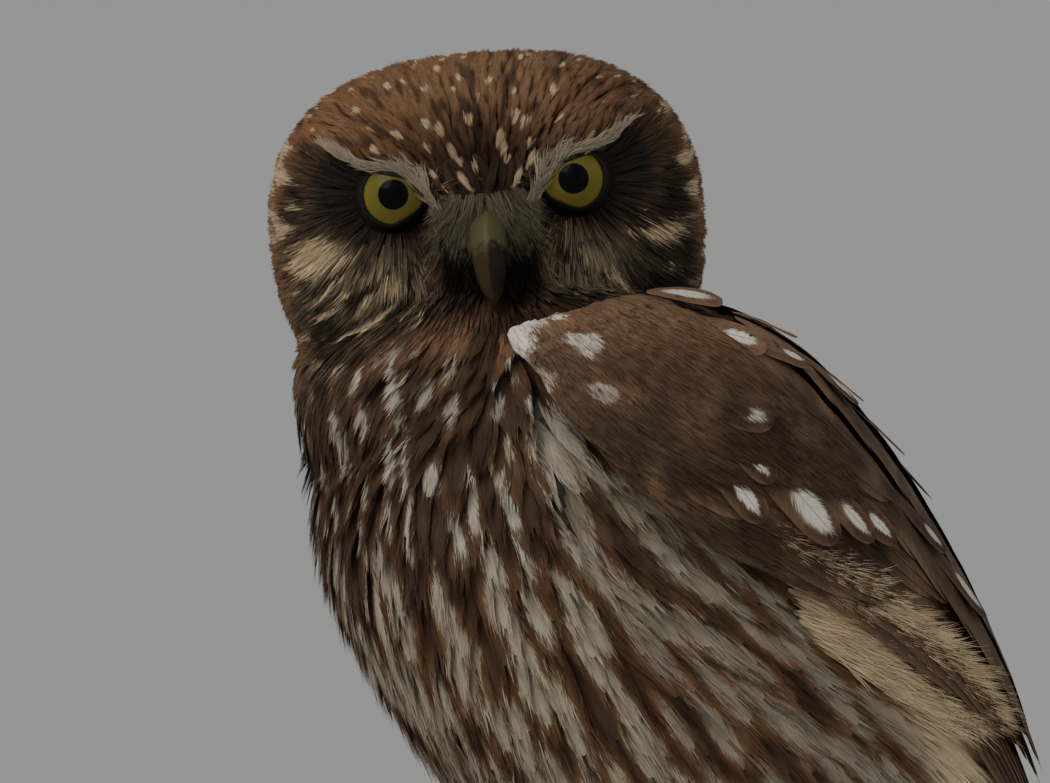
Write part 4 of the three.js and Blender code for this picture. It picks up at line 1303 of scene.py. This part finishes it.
def scapulars(coat, seed):
    """Rows that lie over the back and the wing's back edge"""
    rows = [
        (9, [1.5, 4.1], [20, 46], [2.7, 6.3], [24, 60], [2.0, 3.6], 5.2),
        (8, [1.4, 4.0], [37, 57], [2.6, 6.0], [42, 68], [1.7, 3.2], 5.6),
        (8, [1.3, 3.8], [54, 67], [2.5, 5.7], [60, 76], [1.4, 2.8], 5.8),
        (7, [1.0, 3.4], [72, 80], [2.2, 5.2], [74, 84], [1.2, 2.4], 6.0),
    ]
    for k, (count, root_t, root_a, tip_t, tip_a, lift, half) in enumerate(rows):
        rng = seeded(seed + k)
        u = np.linspace(0, 1, count)[:, None]
        v = np.asarray(WING_SHARES)[None]
        t, around = mix(mix(*root_t, u), mix(*tip_t, u), v), mix(mix(*root_a, u), mix(*tip_a, u), v)
        line, out = bed_point(t, around, mix(lift[0], lift[1], v) + 0.9 * np.sin(np.pi * v) + 0.25 * u)
        spot = spots_for(rng, count, 0.3 if k > 1 else 0, 0.8, 0.08, 0.34)
        coat.add(line, out, np.full(count, half), roll=7, spot=spot, seed=seed + k, **WING_PLAN)


def wing_coat(name, side, material):
    coat = Coat(name, wing_paint)
    inside, at_tips = (0.06, 0.94), (0.06, 0.96)
    tips = [0.84, 0.92, 0.97, 1, 0.98, 0.93]
    tier(coat, 9, [0.36, 0.36], (0.12, 0.95), tips, (0.2, 1), (0.4, 0.4), (1.2, 0.7), 4.2, 31)
    tips, spot = [0.76, 0.73, 0.68, 0.62], (0.4, 0.82, 0.06, 0.5)
    tier(coat, 9, [0.24, 0.28], inside, tips, at_tips, (1.2, 1.2), (2.8, 2.0), 4.4, 32, spot)
    tier(coat, 10, [0.18, 0.2], inside, [0.54, 0.51, 0.46], at_tips, (2.2, 2.2), (4.0, 3.2), 4.2, 33)
    tier(coat, 11, [0.06, 0.08], inside, [0.4, 0.38, 0.34], at_tips, (2.6, 2.4), (4.9, 4.0), 3.8, 34)
    scapulars(coat, 41)
    small_coverts(coat, 51)
    spotted_feathers(coat, 61)
    return coat.build(material, side)


FLANK_PATH = {"t": [2.75, 3.2, 3.65, 4.1, 4.6, 5.1, 5.6], "around": [-13, -4.5, 4, 15, 27, 37, 45]}
TUFT_COUNT, TUFT_HAIRS = 1500, 9
FLANK_MM_A_DEGREE = 0.72


def flank_tuft(name, side, material):
    """Loose pale hairs of the flank, which spill over the wing's lower edge"""
    rng = seeded(83)
    n = TUFT_COUNT
    u = 0.3 + 0.7 * rng.random(n) ** 0.8
    below = rng.random(n) ** 1.2 * mix(2.0, 19.0, smooth(u, 0.35, 0.75)) - 0.5
    t = curve_value(FLANK_PATH["t"], 6 * u)
    around = curve_value(FLANK_PATH["around"], 6 * u) - below / FLANK_MM_A_DEGREE
    along, turn, normals = form_axes(STATIONS, t, around)
    roots = form_point(STATIONS, t, around) - normals * 2.4
    way = headed(along, turn, 56 + rng.normal(0, 13, n) + 10 * (1 - smooth(below, 0, 8)))
    length = mix(4.5, 8.5, smooth(u, 0, 0.5)) * rng.uniform(0.6, 1.2, n)
    rise = mix(2.4, 5.2, bell(below, 0, 5)) * rng.uniform(0.6, 1.2, n)
    v = np.asarray(HAIR_SHARES)[None, :, None]
    line = roots[:, None] + way[:, None] * length[:, None, None] * v
    line = line + normals[:, None] * (1.0 + rise[:, None, None] * v**0.75)
    out = np.broadcast_to(normals[:, None], line.shape)
    coat = Coat(name, tinted("tuft", 0.3))
    coat.add_hairs(line, out, HAIR_SHARES, TUFT_HAIRS, np.full(n, 0.8), 0.14, 0.9, 84, shorter=0.5, curl=0.07)
    return coat.build(material, side)


# Tail
TAIL_ROOT, TAIL_TIP = np.array([0, 89, 66.0]), np.array([0, 119.5, 13.5])


def tail_lines(root, tip, root_across, tip_across, height, bow):
    run = unit(TAIL_TIP - TAIL_ROOT)
    out_way = np.array([0, -run[2], run[1]])
    v = np.asarray(WING_SHARES)[None, :, None]
    root, tip, root_across, tip_across, height = (
        np.asarray(values, float)[:, None, None] for values in (root, tip, root_across, tip_across, height)
    )
    line = TAIL_ROOT + run * mix(root, tip, v) + out_way * (height + bow * np.sin(np.pi * v))
    line = line + np.array([1, 0, 0]) * mix(root_across, tip_across, v)
    return line, np.broadcast_to(out_way, line.shape)


def tail_coat(material):
    rng = seeded(71)
    length = np.linalg.norm(TAIL_TIP - TAIL_ROOT)
    rank = np.repeat(np.arange(6), 2)
    side = np.tile([1, -1], 6)
    lift = -VANE_LAYER * (rank + np.where(side > 0, 0, 0.5))
    coat = Coat("tail_feathers", tinted("tail", 0.25))
    across = side * (1 + 0.7 * rank), side * (1.6 + 1.8 * rank)
    line, out = tail_lines(np.full(12, 8.0), length - 0.7 * rank, *across, lift, 0.8)
    coat.add(line, out, np.full(12, 4.9), roll=0, seed=72, **WING_PLAN)
    plan = dict(WING_PLAN, outline="contour", fray=1.0, reach=0.22)
    for above, name in ((1, "tail"), (-1, "cream")):
        across, start = rng.uniform(-1, 1, 30), rng.uniform(-4, 22, 30)
        height = above * (4.6 - 2.2 * np.abs(across)) - 2.6
        line, out = tail_lines(start, start + 18, across * 9, across * 10, height, 0.6 * above)
        coat.painter = tinted(name, 0.25)
        coat.add(line, out * above, np.full(30, 4.4), seed=74 + above, **plan)
    return coat.build(material)


# Materials
class Nodes:
    """Short calls that build one material from nodes"""

    def __init__(self, name):
        self.material = bpy.data.materials.new(name)
        self.material.use_nodes = True
        self.tree = self.material.node_tree
        self.tree.nodes.clear()

    def add(self, kind, **settings):
        node = self.tree.nodes.new(kind)
        for key, value in settings.items():
            setattr(node, key, value)
        return node

    def feed(self, socket, value):
        if isinstance(value, bpy.types.NodeSocket):
            self.tree.links.new(value, socket)
        elif value is not None:
            socket.default_value = (*value, 1) if socket.type == "RGBA" else value

    def math(self, operation, a, b=None, c=None):
        node = self.add("ShaderNodeMath", operation=operation)
        for socket, value in zip(node.inputs, (a, b, c)):
            self.feed(socket, value)
        return node.outputs[0]

    def times(self, a, b):
        return self.math("MULTIPLY", a, b)

    def step(self, x, low, high):
        node = self.add("ShaderNodeMapRange", interpolation_type="SMOOTHSTEP")
        for socket, value in zip(node.inputs, (x, low, high, 0.0, 1.0)):
            self.feed(socket, value)
        return node.outputs[0]

    def mix(self, share, a, b, way="MIX"):
        node = self.add("ShaderNodeMix", data_type="RGBA", blend_type=way)
        for socket, value in ((node.inputs[0], share), (node.inputs[6], a), (node.inputs[7], b)):
            self.feed(socket, value)
        return node.outputs[2]

    def attribute(self, name, output="Vector"):
        return self.add("ShaderNodeAttribute", attribute_name=name).outputs[output]

    def parts(self, vector):
        node = self.add("ShaderNodeSeparateXYZ")
        self.feed(node.inputs[0], vector)
        return node.outputs

    def joined(self, *values):
        node = self.add("ShaderNodeCombineXYZ")
        for socket, value in zip(node.inputs, values):
            self.feed(socket, value)
        return node.outputs[0]

    def noise(self, scale, detail, vector=None):
        node = self.add("ShaderNodeTexNoise")
        if vector is None:
            vector = self.add("ShaderNodeTexCoord").outputs["Object"]
        self.feed(node.inputs["Vector"], vector)
        node.inputs["Scale"].default_value = scale
        node.inputs["Detail"].default_value = detail
        return node.outputs["Fac"]

    def bump(self, height, distance, strength):
        node = self.add("ShaderNodeBump")
        node.inputs["Strength"].default_value = strength
        node.inputs["Distance"].default_value = distance
        self.feed(node.inputs["Height"], height)
        return node.outputs[0]

    def finish(self, **inputs):
        shader = self.add("ShaderNodeBsdfPrincipled")
        for key, value in inputs.items():
            self.feed(shader.inputs[key.replace("_", " ")], value)
        out = self.add("ShaderNodeOutputMaterial")
        self.feed(out.inputs["Surface"], shader.outputs[0])
        return self.material


def feather_material(name, lean, across_scale, along_scale, roughness, shaft):
    """Pigment from the coat's own marks, with fine barbs that lean out from the shaft"""
    g = Nodes(name)
    v, a, shade = g.parts(g.attribute("place"))
    length, half, own = g.parts(g.attribute("size"))
    across = g.math("ABSOLUTE", g.times(a, half))
    along = g.times(v, length)
    barb_line = g.math("SUBTRACT", across, g.times(along, lean))
    own_side = g.math("MULTIPLY_ADD", g.math("SIGN", a), 3.0, own)
    vector = g.joined(
        g.times(barb_line, across_scale), g.times(along, along_scale), own_side,
    )
    hair = g.math("SUBTRACT", g.noise(1.0, 3, vector), 0.5)
    edge = g.math("MULTIPLY_ADD", hair, 1.1, g.times(shade, 0.1))

    pale_at, deep_at, contrast = g.parts(g.attribute("marks"))
    deep = g.step(g.math("ADD", deep_at, edge), -0.25, 0.25)
    pale = g.step(g.math("ADD", pale_at, edge), -0.12, 0.4)
    pigment = g.mix(deep, g.attribute("tone", "Color"), g.attribute("deep", "Color"))
    pigment = g.mix(pale, pigment, g.attribute("pale", "Color"))
    if shaft:
        rim = g.times(g.step(g.math("ABSOLUTE", a), 0.5, 1.0), 0.45)
        pigment = g.mix(rim, pigment, tuple(COLOURS["shoulder"]))
        centre, half_long, half_wide = g.parts(g.attribute("spot"))
        e1 = g.math("DIVIDE", g.math("SUBTRACT", v, centre), half_long)
        e2 = g.math("DIVIDE", a, g.math("MAXIMUM", half_wide, 0.001))
        reach = g.math("SQRT", g.math("MULTIPLY_ADD", e1, e1, g.times(e2, e2)))
        oval = g.step(g.math("MULTIPLY_ADD", edge, 1.1, reach), 1.1, 0.66)
        pigment = g.mix(oval, pigment, tuple(COLOURS["white"]))
        line = g.times(g.step(across, 0.16, 0.04), 0.55)
        pigment = g.mix(line, pigment, tuple(COLOURS["wing_dark"]))
    light = g.math("MULTIPLY_ADD", g.times(hair, contrast), 1.9, 1.0)
    light = g.math("MULTIPLY_ADD", g.times(shade, contrast), 0.8 if shaft else 0.26, light)
    light = g.math("MAXIMUM", light, 0.15)
    pigment = g.mix(1.0, pigment, g.joined(light, light, light), "MULTIPLY")
    relief = g.bump(hair, 0.12 * MM, 0.5)
    return g.finish(Base_Color=pigment, Roughness=roughness, Specular_IOR_Level=0.18, Normal=relief)


def bill_material():
    """Horn: an olive cere above, darker olive edges and tip, and a brown-black patch down one side"""
    g = Nodes("bill_horn")
    along, ridge, side = g.parts(g.attribute("place"))
    grain = g.noise(700, 4)
    ragged = g.times(g.math("SUBTRACT", grain, 0.5), 0.25)
    at = g.math("ADD", along, ragged)
    pigment = g.mix(g.step(at, 0.4, 0.5), tuple(paint(84, 79, 52)), tuple(paint(56, 46, 26)))
    middle = g.times(g.step(at, 0.4, 0.48), g.step(at, 0.86, 0.72))
    brown = g.times(middle, g.step(g.math("ADD", side, ragged), -0.3, 0.05))
    pigment = g.mix(g.times(brown, 0.9), pigment, tuple(paint(26, 19, 14)))
    pigment = g.mix(g.times(g.step(ridge, 0.1, -0.5), 0.7), pigment, tuple(paint(40, 34, 22)))
    pigment = g.mix(g.times(grain, 0.25), pigment, tuple(paint(30, 25, 18)))
    relief = g.bump(grain, 0.05 * MM, 0.5)
    return g.finish(Base_Color=pigment, Roughness=0.48, Specular_IOR_Level=0.14, Normal=relief)


def claw_material():
    g = Nodes("claw_horn")
    along, _, _ = g.parts(g.attribute("place"))
    pigment = g.mix(g.step(along, 0.1, 0.8), tuple(paint(58, 50, 43)), tuple(paint(22, 20, 18)))
    return g.finish(Base_Color=pigment, Roughness=0.32, Specular_IOR_Level=0.45)


def eye_material():
    """Yellow iris with fine spokes, painted shade of the upper lid over its top, a dark rim, a black pupil
    and a faint gloss
    """
    g = Nodes("wet_eye")
    x, z, reach = g.parts(g.attribute("place"))
    angle = g.math("ARCTAN2", z, x)
    spoke_x = g.times(g.math("COSINE", angle), 7.0)
    spoke_y = g.times(g.math("SINE", angle), 7.0)
    fibre = g.noise(2.2, 4, g.joined(spoke_x, spoke_y, g.times(reach, 0.6)))
    inner = g.step(reach, PUPIL_RADIUS, IRIS_RADIUS)
    iris = g.mix(inner, tuple(paint(100, 92, 42)), tuple(paint(114, 104, 42)))
    iris = g.mix(g.times(g.step(fibre, 0.35, 0.75), 0.6), iris, tuple(paint(104, 92, 26)))
    # Painted shade: the iris darkens towards its top, under the upper lid
    iris = g.mix(g.times(g.step(z, 0.6, 4.4), 0.6), iris, tuple(paint(74, 72, 34)))
    iris = g.mix(g.step(reach, IRIS_RADIUS - 0.5, IRIS_RADIUS + 0.05), iris, tuple(paint(14, 12, 9)))
    iris = g.mix(g.step(reach, PUPIL_RADIUS + 0.14, PUPIL_RADIUS - 0.06), iris, (0.0012, 0.0012, 0.0012))
    gloss = dict(Coat_Weight=0.08, Coat_Roughness=0.03)
    return g.finish(Base_Color=iris, Roughness=0.5, Specular_IOR_Level=0.05, **gloss)


def lid_material():
    g = Nodes("lid_skin")
    grain = g.noise(1500, 3)
    pigment = g.mix(grain, tuple(paint(14, 12, 11)), tuple(paint(28, 25, 22)))
    relief = g.bump(grain, 0.06 * MM, 0.7)
    return g.finish(Base_Color=pigment, Roughness=0.6, Specular_IOR_Level=0.2, Normal=relief)


def skin_material():
    g = Nodes("downy_skin")
    fluff = g.noise(700, 5)
    pigment = g.mix(g.step(fluff, 0.3, 0.7), g.attribute("tone", "Color"), (0.03, 0.022, 0.016))
    relief = g.bump(fluff, 0.4 * MM, 0.8)
    return g.finish(Base_Color=pigment, Roughness=0.95, Specular_IOR_Level=0.1, Normal=relief)


# Eyes and lids
EYE_AXIS = unit(np.array([0.0, -0.99, 0.139]))


def eye_axes(side):
    """Outward, up and forward directions of an eye in the head's frame"""
    forward = unit(EYE_AXIS + np.array([side * 0.02, 0, 0]))
    outward = unit(np.cross((0, 0, 1), forward))
    outward = outward * np.sign(outward[0] * side)
    up = unit(np.cross(forward, outward))
    return outward, up * np.sign(up[2]), forward


# Each lid's straight cut: its distance from the eye's axis, its tilt, and 1 for the upper lid
LID_CUTS = ((2.95, 17, 1), (4.3, 28, -1))

# The lids' rings: steps out from the edge of the opening, and the lift over the eyeball
LID_RINGS = ((0, -0.5), (0, 0.14), (0.2, 0.3), (0.5, 0.2), (0.8, -0.3), (1.1, -1.2), (1.5, -2.4))


def opening(angle):
    """How far the lids' edge is from the eye's axis. angle 0 points out from the bill, 90 degrees up."""
    x, z = np.cos(angle), np.sin(angle)
    edges = [np.full_like(angle, IRIS_RADIUS)]
    for distance, tilt, sign in LID_CUTS:
        lean = math.radians(tilt)
        facing = sign * z * math.cos(lean) - x * math.sin(lean)
        edges.append(np.where(facing > 0.01, distance / np.maximum(facing, 0.01), 99))
    return (np.stack(edges) ** -10.0).sum(axis=0) ** (-1 / 10)


def eyeball(name, side):
    axes = np.stack(eye_axes(side))
    tilt = np.linspace(0.012, np.pi * 0.72, 44)[:, None]
    spin = round_angles(64)[None]
    bulge = 1 + 0.035 * bell(tilt, 0, 0.5)
    local = columns(np.sin(tilt) * np.cos(spin), np.sin(tilt) * np.sin(spin), np.cos(tilt) * bulge)
    centre = np.array([side * EYE_SPREAD, EYE_DEPTH, 0])
    points, triangles = loft(from_head(local @ axes * EYE_RADIUS + centre))
    made = triangle_mesh(name, points, triangles)
    flat = (to_head(points) - centre) @ axes.T
    reach = np.hypot(flat[:, 0], flat[:, 1]) + 99 * (flat[:, 2] < 0)
    set_attribute(made.data, "place", columns(flat[:, 0], flat[:, 1], reach))
    return made


def lids(name, side):
    """The dark rim round an eye, from the eyeball's surface out under the first feathers"""
    axes = np.stack(eye_axes(side))
    angle = round_angles(72)
    edge = opening(angle)
    rings = []
    for out, lift in LID_RINGS:
        reach = edge + out
        depth = np.sqrt(EYE_RADIUS**2 - np.minimum(reach, EYE_RADIUS - 0.6) ** 2) * 1.03 + lift
        rings.append(columns(np.cos(angle) * reach, np.sin(angle) * reach, depth) @ axes)
    points = np.concatenate(rings) + np.array([side * EYE_SPREAD, EYE_DEPTH, 0])
    triangles = walls(len(rings), len(angle))
    corner = points[triangles]
    normal = np.cross(corner[:, 1] - corner[:, 0], corner[:, 2] - corner[:, 0]).sum(axis=0)
    return triangle_mesh(name, from_head(points), triangles if normal @ axes[2] > 0 else triangles[:, ::-1])


# Bill and claws
UPPER_BILL = [
    (-19, -4.6, 2.9, 3.0), (-24.3, -5.4, 2.9, 3.0), (-27.4, -7.6, 2.9, 3.0), (-29.2, -10.2, 2.85, 2.8),
    (-30.2, -13.0, 2.35, 2.2), (-30.2, -15.6, 1.6, 1.5), (-29.5, -BILL_DROP, 0.5, 0.5),
]
LOWER_BILL = [
    (-19, -13.2, 2.5, 1.3), (-23, -14.0, 2.5, 1.4), (-25.6, -14.8, 2.0, 1.2), (-27.2, -15.8, 1.1, 0.7),
]


def bill_part(name, route, steps, keel):
    """A curved horn along points (y, z, half width, half depth) of the head's middle"""
    route = refined(route, steps)
    at = columns(0, route[:, 0], route[:, 1])
    run = unit(np.gradient(at, axis=0))
    deep = columns(0, -run[:, 2], run[:, 1])
    angle = round_angles(40)
    c, s = np.cos(angle), np.sin(angle)
    top = s * np.sign(-deep[len(deep) // 2, 1])
    narrow = 1 - keel * np.clip(top, 0, 1) ** 1.6
    across = (c * narrow)[None, :, None] * np.array([1, 0, 0]) * route[:, None, 2:3]
    rings = at[:, None] + across + deep[:, None] * (s[None, :, None] * route[:, None, 3:4])
    made = triangle_mesh(name, *loft(from_head(rings)))
    place = columns(np.linspace(0, 1, steps)[:, None], top[None], c[None]).reshape(-1, 3)
    set_attribute(made.data, "place", np.concatenate([place, [[0, 0, 0], [1, 0, 0]]]))
    return made


def claw(name, heading, length, side):
    run = toe_heading(heading)
    start = np.array([FOOT_SPREAD, FOOT_Y, 0]) + run * length * 0.95
    a = np.linspace(0, 1, 14)
    at = start[None] + run[None] * (CLAW_LENGTH * 0.86 * a)[:, None]
    radius = mix(1.5, 0.22, a**0.9)
    route = np.column_stack([at[:, :2], mix(3.5, 0.42, a**1.8), radius * 0.86, radius])
    points, triangles = mirror(limb(route, 18, np.cross(run, (0, 0, 1))), side)
    made = triangle_mesh(name, points, triangles)
    place = np.zeros((len(points), 3))
    place[:-2, 0] = np.repeat(a, 18)
    set_attribute(made.data, "place", place)
    return made


# Stage, lights and camera
BACKGROUND = (0.33, 0.33, 0.326)
VIEW_TURN, VIEW_ROLL = 60, 2.7
VIEW_DISTANCE, FRAME_WIDTH = 2.3, 0.17115
AIM_RIGHT, AIM_UP = 8.33 * MM, -32.97 * MM


def view_axes():
    a = math.radians(VIEW_TURN)
    return Vector((math.cos(a), math.sin(a), 0)), Vector((0, 0, 1)), Vector((math.sin(a), -math.cos(a), 0))


def add_camera():
    right, up, toward = view_axes()
    roll = math.radians(VIEW_ROLL)
    x = right * math.cos(roll) + up * math.sin(roll)
    y = up * math.cos(roll) - right * math.sin(roll)
    aim = Vector(eyes_middle * MM) + right * AIM_RIGHT + up * AIM_UP
    data = bpy.data.cameras.new("camera")
    data.sensor_width = 36
    data.lens = 36 * VIEW_DISTANCE / FRAME_WIDTH
    data.clip_start, data.clip_end = 0.1, 50
    made = bpy.data.objects.new("camera", data)
    bpy.context.scene.collection.objects.link(made)
    turn = Matrix((x, y, toward)).transposed().to_4x4()
    made.matrix_world = Matrix.Translation(aim + toward * VIEW_DISTANCE) @ turn
    bpy.context.scene.camera = made


def add_light(name, offset, size, power, tint):
    """A square soft light, placed by steps to the right, up and toward the camera, that looks at the bird"""
    right, up, toward = view_axes()
    data = bpy.data.lights.new(name, "AREA")
    data.shape, data.size = "SQUARE", size
    data.energy, data.color = power, tint
    made = bpy.data.objects.new(name, data)
    bpy.context.scene.collection.objects.link(made)
    place = right * offset[0] + up * offset[1] + toward * offset[2]
    made.location = Vector((0, 0, 0.11)) + place
    made.rotation_mode = "QUATERNION"
    made.rotation_quaternion = (-place).to_track_quat("-Z", "Y")


def add_stage():
    count = 96
    angle = round_angles(count)
    rings = [columns(r * np.cos(angle), r * np.sin(angle), 0) for r in (0.0001, 0.3, 0.8, 1.6, 3.0)]
    floor = triangle_mesh("floor", np.concatenate(rings), walls(len(rings), count)[:, ::-1], in_bird=False)
    g = Nodes("pale_floor")
    far = g.add("ShaderNodeVectorMath", operation="LENGTH")
    g.feed(far.inputs[0], g.add("ShaderNodeTexCoord").outputs["Object"])
    shader = g.add("ShaderNodeBsdfPrincipled")
    speck = g.times(g.noise(60, 4), 0.12)
    g.feed(shader.inputs["Base Color"], g.mix(speck, (0.66, 0.655, 0.64), (0.5, 0.5, 0.49)))
    shader.inputs["Roughness"].default_value = 0.8
    glow = g.add("ShaderNodeEmission")
    g.feed(glow.inputs["Color"], BACKGROUND)
    both = g.add("ShaderNodeMixShader")
    g.feed(both.inputs[0], g.step(far.outputs["Value"], 0.35, 1.5))
    g.feed(both.inputs[1], shader.outputs[0])
    g.feed(both.inputs[2], glow.outputs[0])
    g.feed(g.add("ShaderNodeOutputMaterial").inputs["Surface"], both.outputs[0])
    floor.data.materials.append(g.material)
    world = bpy.data.worlds.new("soft_daylight")
    world.use_nodes = True
    world.node_tree.nodes["Background"].inputs["Color"].default_value = (*BACKGROUND, 1)
    bpy.context.scene.world = world


# Assembly
def finish_piece(piece, slot, *nodes):
    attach(piece, "root")
    if nodes:
        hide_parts(*nodes)


def painted(piece, material):
    piece.data.materials.append(material)
    return piece


def paint_skin():
    """The skin carries the coat's own colours, darker"""
    look = coat_paint(surface.points)
    tone = blend(look["tone"], look["pale"], smooth(look["marks"][:, 0], -0.1, 0.2))
    set_attribute(skin.data, "tone", columns(*(tone * 0.6).T, 1))
    set_uv(skin.data, unwrap(surface.points))
    skin.data.materials.append(skin_material())


add_camera()
add_stage()
add_light("key", (-0.9, 1.15, 0.95), 1.2, 19, (1.0, 0.985, 0.96))
add_light("fill", (1.2, 0.5, 0.9), 1.4, 3, (0.95, 0.97, 1.0))

paint_skin()
limbs = [f"{limb_name}_{side_name}" for limb_name in ("leg", "foot") for side_name, _ in SIDES]
finish_piece(skin, "body_plumage", "head", "neck", "torso", *limbs)

soft_feathers = feather_material("soft_feathers", 0.3, 3.4, 0.35, 0.85, False)
vaned_feathers = feather_material("vaned_feathers", 0.8, 3.0, 0.45, 0.68, True)
for piece in dress_skin(soft_feathers) + face_hairs(soft_feathers):
    finish_piece(piece, "leg_plumage" if piece.name == "coat_legs" else "body_plumage")
for side_name, side in SIDES:
    wing = wing_coat(f"wing_feathers_{side_name}", side, vaned_feathers)
    finish_piece(wing, "flight_feathers", f"wing_{side_name}")
    finish_piece(flank_tuft(f"flank_tuft_{side_name}", side, soft_feathers), "body_plumage")
finish_piece(tail_coat(vaned_feathers), "flight_feathers", "tail")

eye_paint, lid_paint = eye_material(), lid_material()
bill_paint, claw_paint = bill_material(), claw_material()
for side_name, side in SIDES:
    finish_piece(painted(eyeball(f"eyeball_{side_name}", side), eye_paint), "eye_gloss", f"eye_{side_name}")
    finish_piece(painted(lids(f"lids_{side_name}", side), lid_paint), "body_plumage")
    for toe_name, heading, length in TOES:
        piece = claw(f"talon_{toe_name}_{side_name}", heading, length, side)
        finish_piece(painted(piece, claw_paint), "claw_horn", f"claw_{toe_name}_{side_name}")
finish_piece(painted(bill_part("bill_over", UPPER_BILL, 40, 0.38), bill_paint), "bill_horn", "bill_upper")
finish_piece(painted(bill_part("bill_under", LOWER_BILL, 20, 0.0), bill_paint), "bill_horn", "bill_lower")
